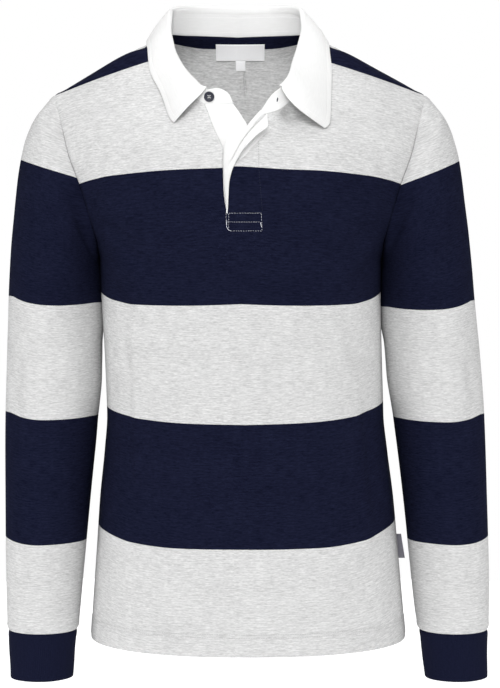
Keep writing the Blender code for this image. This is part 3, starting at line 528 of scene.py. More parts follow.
class Cloth:
    """Grids of a sheet: its outside, its inside one wall behind along the normal, and its UV."""

    def __init__(self, outer, uv, wall, away=None):
        self.outer = outer
        self.away = normals(outer) if away is None else away
        self.inner = outer - self.away * wall
        self.uv = uv
        self.wall = wall

    def extend(self, side, rows):
        """Add rows of (outer, inner, normal, distance walked) past one side."""
        names = ("outer", "inner", "away", "uv")
        old = {name: faced(getattr(self, name), side) for name in names}
        step = np.linalg.norm(old["outer"][-1] - old["outer"][-2], axis=-1, keepdims=True)
        rate = (old["uv"][-1] - old["uv"][-2]) / np.maximum(step, 0.2)
        fresh = {"outer": [row[0] for row in rows], "inner": [row[1] for row in rows],
                 "away": [row[2] for row in rows],
                 "uv": [old["uv"][-1] + rate * row[3] for row in rows]}
        for name in names:
            joined = np.concatenate([old[name], np.array(fresh[name])])
            setattr(self, name, unfaced(joined, side))

    def edge(self, side):
        """Points, inside points, normals and on-going directions of an edge."""
        outer, inner, away = (faced(array, side) for array in (self.outer, self.inner, self.away))
        on = outer[-1] - outer[-2]
        on = unit(on - away[-1] * np.sum(on * away[-1], axis=-1, keepdims=True))
        return outer[-1], inner[-1], away[-1], on

    def turn(self, side, radius, degrees, flange, steps=4, flange_steps=2):
        """Carry the sheet past an edge on an arc, edge + r (sin a * on - (1 - cos a) * normal),
        and then straight on for the length of the flange."""
        point, _, normal, on = self.edge(side)
        rows = []
        for angle in np.radians(np.linspace(0, degrees, steps + 1)[1:]):
            spot = point + radius * (math.sin(angle) * on - (1 - math.cos(angle)) * normal)
            facing = math.cos(angle) * normal + math.sin(angle) * on
            rows.append((spot, spot - facing * self.wall, facing, radius * angle))
        end = math.radians(degrees)
        ahead = math.cos(end) * on - math.sin(end) * normal
        spot, _, facing, walked = rows[-1]
        for reach in np.linspace(0, flange, flange_steps + 1)[1:]:
            place = spot + ahead * reach
            rows.append((place, place - facing * self.wall, facing, walked + reach))
        self.extend(side, rows)

    def round_off(self, *sides):
        """Draw the outside and the inside together on quarter circles at free edges."""
        for side in sides:
            point, inside, normal, on = self.edge(side)
            radius = self.wall / 2
            rows = []
            for angle in np.radians((35, 65, 86)):
                over, down = radius * math.sin(angle) * on, radius * (1 - math.cos(angle)) * normal
                rows.append((point + over - down, inside + over + down, normal,
                             radius * math.sin(angle)))
            self.extend(side, rows)


# %% One mesh from both grids
def corner_rows(grid):
    """The four corners of each cell of a grid of numbers."""
    return np.stack([grid[:-1, :-1], grid[:-1, 1:], grid[1:, 1:], grid[1:, :-1]], -1).reshape(-1, 4)


def add_piece(name, mesh):
    """An object for a mesh, which rides on the shirt's one body."""
    made = new_object(name, mesh)
    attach(made, "root")
    return made


def make_piece(name, cloth, closed=False, slit_column=None):
    """Mesh of a cloth. closed joins its last column to its first; slit_column is the column whose
    cells to the next one are left out, and whose points are joined below the slit."""
    rows, width = cloth.outer.shape[:2]
    place = np.arange(rows * width).reshape(rows, width)
    own = place.copy()
    keep = np.ones((rows - 1, width - 1), dtype=bool)
    if closed:
        own[:, -1] = own[:, 0]
    if slit_column is not None:
        below = cloth.outer[:, slit_column, 2] <= SLIT_END_Z
        own[below, slit_column + 1] = own[below, slit_column]
        keep[:, slit_column] = False
    faces, spots = corner_rows(own)[keep.ravel()], corner_rows(place)[keep.ravel()]
    points = np.concatenate([cloth.outer.reshape(-1, 3), cloth.inner.reshape(-1, 3)])
    corners = points[faces]
    turned = np.cross(corners[:, 2] - corners[:, 0], corners[:, 3] - corners[:, 1])
    if np.sum(turned * cloth.away.reshape(-1, 3)[faces[:, 0]]) < 0:
        faces, spots = faces[:, ::-1], spots[:, ::-1]
    begin, end = faces.ravel(), np.roll(faces, -1, axis=1).ravel()
    begin_spot, end_spot = spots.ravel(), np.roll(spots, -1, axis=1).ravel()
    count = rows * width
    key = np.minimum(begin, end) * count + np.maximum(begin, end)
    _, where, uses = np.unique(key, return_inverse=True, return_counts=True)
    rim = uses[where] == 1
    begin, end, begin_spot, end_spot = begin[rim], end[rim], begin_spot[rim], end_spot[rim]
    all_faces = np.concatenate([faces, faces[:, ::-1] + count,
                                np.stack([end, begin, begin + count, end + count], -1)])
    all_spots = np.concatenate([spots, spots[:, ::-1],
                                np.stack([end_spot, begin_spot, begin_spot, end_spot], -1)])
    used, compact = np.unique(all_faces, return_inverse=True)
    mesh = bpy.data.meshes.new(name)
    mesh.from_pydata(swing(points[used]) * MM, [], compact.reshape(-1, 4).tolist())
    layer = mesh.uv_layers.new(name="cloth")
    layer.data.foreach_set("uv", cloth.uv.reshape(-1, 2)[all_spots.ravel()].ravel())
    mesh.shade_smooth()
    print("%-18s %6d triangles" % (name, 2 * len(all_faces)))
    return add_piece(name, mesh)


def step_lengths(grid, axis):
    """Distance along the grid's rows (axis 1) or columns (axis 0) from its first points."""
    steps = np.linalg.norm(np.diff(grid, axis=axis), axis=-1)
    start = np.zeros_like(steps.take([0], axis=axis))
    return np.concatenate([start, np.cumsum(steps, axis=axis)], axis=axis)


def from_last(grid, axis=0):
    """Distance of each point from the last one along an axis of the grid."""
    reach = step_lengths(grid, axis)
    return reach.take([-1], axis=axis) - reach


def ditch(distance, depth=0.9):
    """Height of cloth beside a seam: a narrow ditch at the seam and a low swell over the seam
    allowance behind it, -depth exp(-(d / 1.7)^2) + 0.35 exp(-((d - 5.5) / 2.6)^2)."""
    return (-depth * np.exp(-(distance / 1.7) ** 2)
            + 0.35 * np.exp(-((distance - 5.5) / 2.6) ** 2))


# %% [markdown]
# ## Finishes
#
# Melange jersey is knitted from yarn that mixes pale and darker fibres, so it shows short level
# streaks, and its bands are knitted in, so they also show inside. Both are worked out from the
# fabric's own coordinates and stay on the cloth where it bends. A picture of cloth laid on the
# surface would bring its own light and shade.

# %% A short way to write shader maths
class Wire:
    """A socket that can be used in sums. An expression adds its Math nodes."""

    def __init__(self, finish, socket):
        self.finish, self.socket = finish, socket

    def maths(self, operation, *values):
        return self.finish.node("ShaderNodeMath", dict(enumerate(values)), operation=operation)

    def __add__(self, other):
        return self.maths("ADD", self, other)

    def __sub__(self, other):
        return self.maths("SUBTRACT", self, other)

    def __rsub__(self, other):
        return self.maths("SUBTRACT", other, self)

    def __mul__(self, other):
        return self.maths("MULTIPLY", self, other)

    def __gt__(self, other):
        return self.maths("GREATER_THAN", self, other)

    def __lt__(self, other):
        return self.maths("LESS_THAN", self, other)

    def __abs__(self):
        return self.maths("ABSOLUTE", self)

    def sine(self):
        return self.maths("SINE", self)

    __radd__, __rmul__ = __add__, __mul__


# %% A material and its nodes
class Finish:
    """A material, its Principled shader and one method that adds any node."""

    def __init__(self, name, roughness, sheen=0.0, specular=0.5):
        self.material = bpy.data.materials.new(name)
        self.material.use_nodes = True
        self.tree = self.material.node_tree
        self.shader = self.tree.nodes["Principled BSDF"]
        for socket, value in (("Roughness", roughness), ("Sheen Weight", sheen),
                              ("Specular IOR Level", specular)):
            self.shader.inputs[socket].default_value = value

    def node(self, kind, sockets, output=0, **settings):
        """Add a node, its settings first and then the values or links of its sockets."""
        made = self.tree.nodes.new(kind)
        for name, value in settings.items():
            setattr(made, name, value)
        for name, value in sockets.items():
            self.feed(made.inputs[name], value)
        return Wire(self, made.outputs[output])

    def feed(self, socket, value):
        """Link a wire to a socket, or set its value."""
        if isinstance(value, Wire):
            self.tree.links.new(value.socket, socket)
        else:
            socket.default_value = value

    def uv(self):
        """u and v of the cloth's own coordinates, in metres."""
        place = self.node("ShaderNodeUVMap", {}, uv_map="cloth")
        return [self.node("ShaderNodeSeparateXYZ", {0: place}, output=axis) for axis in (0, 1)]

    def noise(self, x, y, detail=2.0, z=0.0):
        """Noise around 0.5 that has one bump in each unit of x and y."""
        vector = self.node("ShaderNodeCombineXYZ", {0: x, 1: y, 2: z})
        return self.node("ShaderNodeTexNoise", {"Vector": vector, "Scale": 1.0, "Detail": detail,
                                                "Roughness": 0.55})

    def mix(self, factor, first, second):
        """Colour first + (second - first) * factor."""
        return self.node("ShaderNodeMix", {0: factor, 6: first, 7: second}, output=2,
                         data_type="RGBA")

    def colour(self, value):
        """Give the shader its colour."""
        self.feed(self.shader.inputs["Base Color"], value)

    def bump(self, height, distance, strength=1.0, after=None):
        """Tilt the normals by a height, on top of an earlier bump."""
        sockets = {"Height": height, "Distance": distance, "Strength": strength}
        if after is not None:
            sockets["Normal"] = after
        made = self.node("ShaderNodeBump", sockets)
        self.feed(self.shader.inputs["Normal"], made)
        return made


# %% [markdown]
# Jersey is rows of small loops. Each loop shows as a V: a wale about 1 mm wide whose two legs lean,
# repeated every course. The bands change at exact courses, at BAND_EDGES down from the neck.

# %% Jersey, cuffs and twill
BAND_EDGES = (11.0, 156.0, 305.0, 438.0, 575.5)
WALE, COURSE = 0.00095, 0.00080
GREY_DARK, GREY_LIGHT = (0.44, 0.44, 0.442, 1), (0.72, 0.72, 0.717, 1)
NAVY_DARK, NAVY_LIGHT = (0.0030, 0.0038, 0.0128, 1), (0.0112, 0.0134, 0.0340, 1)


def knit_height(finish, u, v):
    """Height of jersey loops: |sin| across each wale times the course wave, moved up the legs."""
    wale = (u * (math.pi / WALE)).sine()
    leg = abs(wale)
    course = (v * (2 * math.pi / COURSE) + leg * 2.4).sine()
    return leg * 0.6 + course * 0.4


def make_jersey():
    """Melange: level streaks of two lengths. Navy where v lies in a band."""
    finish = Finish("striped_jersey", roughness=1.0, specular=0.04)
    u, v = finish.uv()
    long_streaks = finish.noise(u * 84.0, v * 700.0, detail=3.0)
    short_streaks = finish.noise(u * 260.0, v * 1300.0, detail=1.0, z=4.0)
    clouds = finish.noise(u * 16.0, v * 40.0, detail=1.0, z=9.0)
    fibre = (long_streaks - 0.5) * 1.8 + (short_streaks - 0.5) * 1.3 + (clouds - 0.5) * 0.35 + 0.5
    ragged = v + (finish.noise(u * 900.0, 0.0, detail=0.0, z=2.0) - 0.5) * 0.0006
    first, second, third, fourth, fifth = (edge * MM for edge in BAND_EDGES)
    band = ((ragged < first) + (ragged > second) * (ragged < third)
            + (ragged > fourth) * (ragged < fifth))
    grey = finish.mix(fibre, GREY_DARK, GREY_LIGHT)
    navy = finish.mix(fibre, NAVY_DARK, NAVY_LIGHT)
    finish.colour(finish.mix(band, grey, navy))
    soft = finish.bump(finish.noise(u * 420.0, v * 420.0, detail=2.0, z=7.0), 0.0004, 0.25)
    finish.bump(knit_height(finish, u, v), 0.00018, 0.5, after=soft)
    return finish.material


def make_cuff_knit():
    """Firm rib: ridges down the cuff, sin(2 pi u / rib), over the fine knit."""
    finish = Finish("navy_cuff", roughness=1.0, specular=0.04)
    u, v = finish.uv()
    fibre = finish.noise(u * 300.0, v * 900.0, detail=2.0)
    finish.colour(finish.mix(fibre, NAVY_DARK, NAVY_LIGHT))
    ribs = finish.bump((u * (2 * math.pi / 0.0022)).sine(), 0.0003, 0.45)
    finish.bump(knit_height(finish, u, v), 0.00015, 0.4, after=ribs)
    return finish.material


def make_twill():
    """White twill: fine diagonal lines, sin of (u + v), with slight slubs."""
    finish = Finish("white_twill", roughness=0.85, sheen=0.05, specular=0.3)
    u, v = finish.uv()
    slubs = finish.noise(u * 90.0, v * 520.0, detail=2.0)
    finish.colour(finish.mix(slubs, (0.712, 0.712, 0.708, 1), (0.778, 0.778, 0.776, 1)))
    uneven = finish.bump(finish.noise(u * 60.0, v * 60.0, detail=2.0, z=3.0), 0.0012, 0.30)
    finish.bump(((u + v) * (2 * math.pi / 0.0011)).sine(), 0.00010, 0.5, after=uneven)
    return finish.material


def make_plain(name, colour, roughness, sheen=0.0):
    """Plain finish with a slight mottle of a few percent, on the piece's own place in space."""
    finish = Finish(name, roughness, sheen=sheen)
    place = finish.node("ShaderNodeTexCoord", {}, output=3)
    mottle = finish.node("ShaderNodeTexNoise", {"Vector": place, "Scale": 900.0, "Detail": 2.0})
    darker = tuple(0.86 * part for part in colour) + (1,)
    lighter = tuple(min(1.0, 1.08 * part) for part in colour) + (1,)
    finish.colour(finish.mix(mottle, darker, lighter))
    finish.bump(mottle, 0.0001, 0.2)
    return finish.material


def make_tape(name, dark, light):
    """Woven satin tape: fine level ribs on its own coordinates."""
    finish = Finish(name, 0.5, sheen=0.1)
    u, v = finish.uv()
    weft = finish.noise(u * 200.0, v * 4000.0, detail=1.0)
    finish.colour(finish.mix(weft, dark, light))
    finish.bump((v * (2 * math.pi / 0.0006)).sine() + (u * (2 * math.pi / 0.0005)).sine() * 0.6,
                0.00006, 0.5)
    return finish.material


JERSEY = make_jersey()
CUFF_KNIT = make_cuff_knit()
TWILL = make_twill()
LABEL_TAPE = make_tape("woven_label", (0.88, 0.88, 0.89, 1), (0.95, 0.95, 0.96, 1))
SIDE_TAPE = make_tape("side_tab_tape", (0.16, 0.155, 0.19, 1), (0.30, 0.29, 0.34, 1))
BUTTON_RESIN = make_plain("navy_button", (0.007, 0.009, 0.022), 0.5)
WHITE_THREAD = make_plain("white_thread", (0.86, 0.86, 0.85), 0.7, sheen=0.2)
GREY_THREAD = make_plain("grey_thread", (0.42, 0.42, 0.43), 0.7, sheen=0.2)
# Dark grey thread. Its darkness is partly the thread and partly painted shade of the crease along the
# placket's stitch line.
THREAD_AND_CREASE_SHADE = make_plain("shade_thread", (0.20, 0.20, 0.20), 0.8)
PALE_THREAD = make_plain("pale_thread", (0.82, 0.83, 0.90), 0.6, sheen=0.2)
# Navy thread. The same dark colour is also the painted shadow in the buttonhole's slit.
NAVY_THREAD_AND_SLIT_SHADOW = make_plain("navy_thread", (0.010, 0.012, 0.030), 0.8)


def wear(piece, material, node=None):
    """Give a piece its finish, and hide the solid that it stands for."""
    piece.data.materials.append(material)
    if node:
        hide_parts(node)
    return piece


# %% [markdown]
# ## Front panel
#
# The front is one panel, slit down its middle for the placket. Each half is worked out from the
# slit to its side, the folds lift it along its normals, and the halves are joined below the slit.
# The hem is turned up inside and the seam edges are turned in.

# %% Courses that bend
HALF_NECK_COLUMNS, HALF_SIDE_COLUMNS, BODY_ROWS = 32, 52, 190
BAND_BEND = (("z", "middle", "part", "most", "turned", "edge", "left_more"),
             (156, 0, -3, -8, -12.5, -18, 0.0), (305, 0, -2, -1.5, 3, 11, 0.0),
             (438, 0, 1.5, 4.5, 9, 13, 0.42), (576, 0, 0.5, 4, 10, 15, 0.38))
BAND_BEND_PLACES = (0, 0.45, 0.75, 0.9, 1)


def half_shares(neck_share):
    """Columns of half a panel: even on the neckline, and even on the shoulder seam."""
    return np.concatenate([np.linspace(0, neck_share, HALF_NECK_COLUMNS, endpoint=False),
                           np.linspace(neck_share, 1, HALF_SIDE_COLUMNS)])


def band_bend(part_across, z, on_left):
    """How far a course is pulled up at a part of the way to the side, between band edges."""
    lines = np.array([smooth(BAND_BEND_PLACES, row[1:-1], part_across) * (1 + row[-1] * on_left)
                      for row in BAND_BEND[1:]])
    place = np.interp(-z, columns(BAND_BEND)["z"], np.arange(len(lines)))
    low = np.clip(np.floor(place).astype(int), 0, len(lines) - 2)
    part = ease(place - low)
    return ((1 - part) * np.take_along_axis(lines, low[None], 0)[0]
            + part * np.take_along_axis(lines, low[None] + 1, 0)[0])


def level_course(grid):
    """Fabric coordinate down a body panel, in millimetres: -z plus the pull at the sides."""
    part_across = np.abs(grid[..., 0]) / np.abs(grid[..., 0]).max(axis=1, keepdims=True)
    return -(grid[..., 2] - band_bend(part_across, grid[..., 2], grid[..., 0] > 0))


print("pull at the sides, mm:", [row[5] for row in BAND_BEND[1:]])


# %% Trough and hollow beside the placket
LIP_TROUGH, LIP_RAISE = {"depth": 4.6, "shift": 2.6, "width": 5.0}, 5.6
NOTCH = {"x": 57, "z": -97.5, "wide": 10, "high": 6.5, "depth": 7.5}
LIP_EDGE = (("z", "x"),
            (-98, 29.5), (-105.6, 29.7), (-111.6, 29.4), (-115.8, 25.6), (-120, 19.7),
            (-124.6, 14.7), (-129.2, 10.5), (-135, 4.6), (-141, 0.4), (-149, -3.9), (-160, -9.0),
            (-173.4, -12.0), (-191.5, -13.1), (-204, -14.0), (-210, -14.0))


def lip_fade(z):
    """Share, by height, of how far the placket's turned-out lip stands off the panel."""
    return ease((-z - 106) / 12) * ease((154 + z) / 20)


def notch(x, z):
    """Depth of the hollow under the leaf's open end: depth exp(-(dx / wide)^2 - (dz / high)^2)."""
    return NOTCH["depth"] * np.exp(-((x - NOTCH["x"]) / NOTCH["wide"]) ** 2
                                   - ((z - NOTCH["z"]) / NOTCH["high"]) ** 2)


def lip_trough(x, z):
    """Depth of the trough in the panel under the lip:
    depth * fade * exp(-((x - edge - shift) / width)^2)."""
    beside = x - at_height(LIP_EDGE, "x", z) - LIP_TROUGH["shift"]
    return LIP_TROUGH["depth"] * lip_fade(z) * np.exp(-(beside / LIP_TROUGH["width"]) ** 2)


print("lip from z = %d to %d, hollow %.1f mm deep" % (LIP_EDGE[1][0], LIP_EDGE[-1][0],
                                                      notch(NOTCH["x"], NOTCH["z"])))

# %% Front panel
JERSEY_WALL, ARMHOLE_DITCH = 1.2, 0.45
HEM_TURN, HEM_DEPTH, SEAM_TURN, SEAM_ALLOWANCE = 1.4, 22.0, 0.4, 4.0
HEM_GROOVE = {"depth": 0.45, "up": 21.8, "width": 2.4}
CALM = {"side": 12, "front_top": 14, "back_top": 20, "hem": 26, "least": 0.3, "slit": 26,
        "below_slit": 30, "fade": 40}
PLACKET_PULL = {"height": 1.3, "width": 60, "z": -156, "reach": 30}
STRIP_TO_MIDDLE = 14


def hem_groove(from_top):
    """Depth of the groove that the hem's stitches pull: depth exp(-((d - up) / width)^2)."""
    above_hem = from_top[-1:] - from_top - HEM_GROOVE["up"]
    return HEM_GROOVE["depth"] * np.exp(-(above_hem / HEM_GROOVE["width"]) ** 2)


def calm_edges(from_side, from_top, top, down):
    """Share of the folds: 0 at the seams, eased in over the sizes in CALM, and less at the hem."""
    at_hem = CALM["least"] + (1 - CALM["least"]) * ease((HEM - down) / CALM["hem"])[:, None]
    return ease(from_side / CALM["side"]) * ease(from_top / CALM[top]) * at_hem


def turn_edges(cloth):
    """Turn a panel's hem up and its other edges in, and tell how many columns each side gained."""
    before = cloth.outer.shape[1]
    cloth.turn("bottom", HEM_TURN, 180, HEM_DEPTH, steps=6, flange_steps=4)
    cloth.turn("top", 0.5, 90, 0.8, flange_steps=1)
    for side in ("left", "right"):
        cloth.turn(side, SEAM_TURN, 90, SEAM_ALLOWANCE)
    return (cloth.outer.shape[1] - before) // 2


def dressed_half(side, share, down):
    """Half of the front with its folds: points, normals and UV."""
    grid = half_front(side, share, down)
    away = front_normals(grid)
    reach = step_lengths(grid, 1)
    from_slit = reach if side > 0 else reach[:, -1:] - reach
    from_side = reach[:, -1:] - from_slit
    from_top = step_lengths(grid, 0)
    under_slit = SLIT_END_Z - CALM["below_slit"] - grid[..., 2]
    by_slit = np.maximum(ease(from_slit / CALM["slit"] - 1), ease(under_slit / CALM["fade"]))
    calm = calm_edges(from_side, from_top, "front_top", down) * by_slit
    lift = calm * (fold_height(grid[..., 0], grid[..., 2], FRONT_FOLDS)
                   + drape(grid[..., 0], grid[..., 2]))
    lift += ditch(from_side, ARMHOLE_DITCH) + ditch(from_top) * by_slit - hem_groove(from_top)
    course = level_course(grid)
    if side > 0:
        lift -= lip_trough(grid[..., 0], grid[..., 2])
        lift -= notch(grid[..., 0], grid[..., 2]) * ease(from_top / 6)
        away_from = np.abs(grid[..., 2] - PLACKET_PULL["z"]) / PLACKET_PULL["reach"]
        pull = ease(1 - from_slit / PLACKET_PULL["width"]) * ease(1 - away_from)
        course += PLACKET_PULL["height"] * pull
    uv = np.stack([side * (from_slit + STRIP_TO_MIDDLE), course], axis=-1) * MM
    return grid + away * lift[..., None], away, uv


def make_front():
    """Both halves side by side, with turned edges, joined below the slit."""
    share = half_shares(FRONT_NECK_SHARE)
    down = np.linspace(SHOULDER_TIP, HEM, BODY_ROWS)
    right = dressed_half(-1, share[::-1], down)
    left = dressed_half(1, share, down)
    outer, away, uv = (np.concatenate(pair, axis=1) for pair in zip(right, left))
    cloth = Cloth(outer, uv, JERSEY_WALL, away)
    added = turn_edges(cloth)
    piece = make_piece("front_cloth", cloth, slit_column=added + len(share) - 1)
    return wear(piece, JERSEY, "front_panel"), (outer, away)


front_piece, front_surface = make_front()

# %% [markdown]
# ## Back panel
#
# The back comes forward over the shoulders, so it is seen as a wedge beside the collar, and inside
# the neck. Its uppermost band is navy. Where the panel lies over the shoulder its courses follow
# the shoulder's slope, and further down they are level again.

# %% Back panel
YOKE_BAND = {"down": 80.8, "slope": 12.0, "rate": 1.05, "drop": 3.2}
CREASE_SHARES = np.linspace(-0.006, 0.048, 37)


def back_course(grid, share, down):
    """Courses by distance down the panel over the shoulder, and level below, mixed smoothly."""
    size = np.abs(share)[None]
    drop = YOKE_BAND["drop"] * ease((size - 0.05) / 0.3) * ease((0.54 - size) / 0.12)
    over = (BAND_EDGES[0] + YOKE_BAND["rate"]
            * (down[:, None] - YOKE_BAND["down"] - YOKE_BAND["slope"] * size - drop))
    level = ease((down - BLADE_DOWN) / 60)[:, None]
    return over * (1 - level) + level_course(grid) * level


def make_back():
    """The back with its folds, and more columns where the crease below the neck needs them."""
    half = half_shares(BACK_NECK_SHARE)
    share = np.unique(np.concatenate([-half, half, CREASE_SHARES]))
    down = np.concatenate([np.linspace(SHOULDER_TIP, BLADE_DOWN, 24, endpoint=False),
                           np.linspace(BLADE_DOWN, HEM, BODY_ROWS - 18)])
    grid = back(share, down)
    away = normals(grid)
    away *= np.sign(np.sum(away * (grid - CHEST_MIDDLE), axis=-1, keepdims=True))
    reach = step_lengths(grid, 1)
    from_side = np.minimum(reach, reach[:, -1:] - reach)
    from_top = step_lengths(grid, 0)
    calm = calm_edges(from_side, from_top, "back_top", down)
    lift = calm * (fold_height(grid[..., 0], grid[..., 2], BACK_FOLDS)
                   + drape(grid[..., 0] + 40, grid[..., 2]))
    lift += ditch(from_side) + ditch(from_top) * (np.abs(share) > BACK_NECK_SHARE)[None]
    lift -= hem_groove(from_top)
    middle = reach[:, int(np.argmin(np.abs(share)))][:, None]
    uv = np.stack([reach - middle, back_course(grid, share, down)], axis=-1) * MM
    cloth = Cloth(grid + away * lift[..., None], uv, JERSEY_WALL, away)
    surface = (cloth.outer, cloth.away)
    turn_edges(cloth)
    piece = make_piece("back_cloth", cloth)
    return wear(piece, JERSEY, "back_panel"), surface


back_piece, back_surface = make_back()

# %% [markdown]
# ## Sleeves and cuffs
#
# A set-in sleeve starts on the closed curve of the armhole and ends in the level ring of the cuff.
# Rings between the two are joined lengthwise by smooth curves, so the cap turns over the shoulder
# without a crease. Its bands are knitted straight across it, but the sleeve hangs at an angle to
# the body, so its courses slope at the top and meet the body's bands.

# %% Sleeve and cuff surfaces
SLEEVE = (("out_x", "out_z", "in_x", "in_z", "y_mid", "y_half"),
          (229, -90, 161.6, -267.5, 0, 63), (241, -111, 161.9, -271, 0, 66),
          (249.5, -138, 162, -276, 0, 66), (257, -190, 162, -290, 0, 63),
          (263.5, -254, 161.8, -312, 0, 60), (267.6, -309, 161.8, -342, 0, 58),
          (272, -378, 163.2, -388, -1, 56), (274.8, -440, 170, -443, -5, 53),
          (276.4, -520, 178.5, -521, -10, 50), (277, -600, 186.5, -600, -16, 46),
          (276, -680.7, 195, -680.7, -20, 41))
CUFF = (("out_x", "out_z", "in_x", "in_z", "y_mid", "y_half"),
        (274.8, -681, 196.5, -681, -20, 39.5), (274.4, -708, 199.3, -708, -21, 38),
        (273.8, -735, 202, -735, -22, 37))
ARMHOLE_GAP = 0.25
SLEEVE_COLUMNS, SLEEVE_ROWS, CUFF_ROWS = 144, 190, 26
SLEEVE_TOUCH = {"height": 2.6, "top": -262, "bottom": -356, "share": 0.07}
SLEEVE_HALF_WIDTH = 46
SLEEVE_TILT = (("z", "tilt", "out_pull", "in_pull"),
               (-90, 0.42, 0, 0), (-155, 0.34, 0, 0), (-300, 0.02, 8.5, 3), (-437, -0.02, 7.5, 1.5),
               (-570, -0.03, 7, 0), (-680, 0, 0, 0))
SLEEVE_EDGES = {"right": (162.3, 309.0, 438.0, 579.5), "left": (168.4, 314.0, 440.4, 579.0)}
SLEEVE_TILT_MORE = {"right": -0.03, "left": 0.06}
SIDES = ((-1, "right"), (1, "left"))


def armhole(share):
    """Armhole, one side: share 0 at the tip, 0.5 under the arm by the front, 1 at the tip."""
    steps = np.linspace(SHOULDER_TIP, UNDERARM, 200)
    part = 1 - np.abs(1 - 2 * share)
    lines = [walk(part * reach_along(edge)[-1], edge)
             for edge in (half_front(1, np.ones(1), steps)[:, 0], back(np.ones(1), steps)[:, 0])]
    return np.where((share <= 0.5)[:, None], lines[0], lines[1])


def ring(params, share):
    """Ellipse from the outer point (share 0) by the front to the inner point (share 0.5)."""
    angle = 2 * math.pi * share
    outer = np.array([params["out_x"], 0, params["out_z"]])
    inner = np.array([params["in_x"], 0, params["in_z"]])
    points = (outer + inner) / 2 + np.cos(angle)[:, None] * (outer - inner) / 2
    points[:, 1] = params["y_mid"] - params["y_half"] * np.sin(angle)
    return points


def sleeve(share, along):
    """Sleeve on the +X side: smooth curves from the armhole through each ring to the cuff."""
    start = armhole(share)
    rings = [ring(params, share) for params in records(SLEEVE)]
    rings.insert(0, start + unit(rings[0] - start) * ARMHOLE_GAP)
    reach = reach_along(np.mean(rings, axis=1))
    return smooth(reach / reach[-1], np.array(rings), along)


def ring_normals(grid):
    """Outward normals of a closed grid, whose last column is its first."""
    wide = np.concatenate([grid[:, -2:-1], grid, grid[:, 1:2]], axis=1)
    away = normals(wide)[:, 1:-1]
    middle = grid.mean(axis=1, keepdims=True)
    return away * np.sign(np.sum(away * (grid - middle)))


def sleeve_middle(z):
    """x of the sleeve's middle line at a height."""
    table = columns(SLEEVE)
    middle = (table["out_x"] + table["in_x"]) / 2
    height = (table["out_z"] + table["in_z"]) / 2
    return smooth(-height, middle, -z)


def sleeve_course(grid, word):
    """Fabric coordinate down a sleeve: -z taken along sloping courses, then moved so that its
    band edges have their places on the body."""
    z = grid[..., 2]
    across = grid[..., 0] - sleeve_middle(z)
    tilt, out_pull, in_pull = (at_height(SLEEVE_TILT, name, z)
                               for name in ("tilt", "out_pull", "in_pull"))
    part = np.clip(across / SLEEVE_HALF_WIDTH, -1, 1)
    pull = np.where(part > 0, out_pull, in_pull) * np.abs(part) ** 2.4
    tilt = tilt + SLEEVE_TILT_MORE[word] * ease((z + 290) / 100)
    course = tilt * across - z + pull
    edges, goals = ([marks[0] - 100, *marks, marks[-1] + 200]
                    for marks in (SLEEVE_EDGES[word], BAND_EDGES[1:]))
    return np.interp(course, edges, goals)


# %% Sleeves
AROUND = np.linspace(0.5, 1.5, SLEEVE_COLUMNS + 1) % 1


def tube_cloth(side, grid, away, lift, course, wall):
    """Cloth of a tube on the +X side, lifted along its normals, or of its mirror image."""
    reach = step_lengths(grid, 1)
    uv = np.stack([reach - reach[:, -1:] / 2, course], axis=-1) * MM
    mirror = np.array((side, 1, 1))
    return Cloth((grid + away * lift[..., None]) * mirror, uv, wall, away * mirror)


def make_sleeve(side, word):
    """A sleeve with folds before and behind, and a swell where it touches the body."""
    share = AROUND
    along = np.concatenate([np.linspace(0, 0.1, 30, endpoint=False),
                            np.linspace(0.1, 1, SLEEVE_ROWS - 30)])
    grid = sleeve(share, along)
    away = ring_normals(grid)
    from_top = step_lengths(grid, 0)
    from_end = from_top[-1:] - from_top
    across = grid[..., 0] - sleeve_middle(grid[..., 2])
    shift = 0 if side > 0 else 17
    front = fold_height(across, grid[..., 2] + shift, SLEEVE_FOLDS)
    behind = fold_height(-across * 0.9 - 4, grid[..., 2] - 15 + shift, SLEEVE_FOLDS)
    facing = ease(0.5 + 1.1 * np.sin(2 * math.pi * share))[None]
    calm = ease(from_top / 16) * (0.25 + 0.75 * ease(from_end / 22))
    if side < 0:
        calm *= 1 - 0.5 * ease((-grid[..., 2] - 440) / 80)
    around = SLEEVE_HALF_WIDTH * np.sin(2 * math.pi * share)[None] + side * 60
    lift = calm * (front * facing + behind * (1 - facing) + drape(around, grid[..., 2]))
    lift += ditch(from_top, ARMHOLE_DITCH) + 1.4 * ditch(from_end)
    touch = (ease((SLEEVE_TOUCH["top"] - grid[..., 2]) / 18)
             * ease((grid[..., 2] - SLEEVE_TOUCH["bottom"]) / 26))
    inner = np.exp(-((share - 0.5) / SLEEVE_TOUCH["share"]) ** 2)[None]
    lift += SLEEVE_TOUCH["height"] * touch * inner
    cloth = tube_cloth(side, grid, away, lift, sleeve_course(grid, word), JERSEY_WALL)
    cloth.turn("top", SEAM_TURN, 90, SEAM_ALLOWANCE)
    cloth.turn("bottom", 0.5, 90, 1.2)
    piece = make_piece("sleeve_%s_cloth" % word, cloth, closed=True)
    return wear(piece, JERSEY, "sleeve_" + word)


sleeve_pieces = {word: make_sleeve(side, word) for side, word in SIDES}

# %% [markdown]
# The cuff is a band of firm rib knit, folded double at the wrist. It is made as one thin sheet that
# turns back up inside itself, as the real one does. One thick wall would show a square edge there.

# %% Cuffs
CUFF_LAYER, CUFF_TURN, CUFF_INSIDE = 0.85, 0.95, 51.0


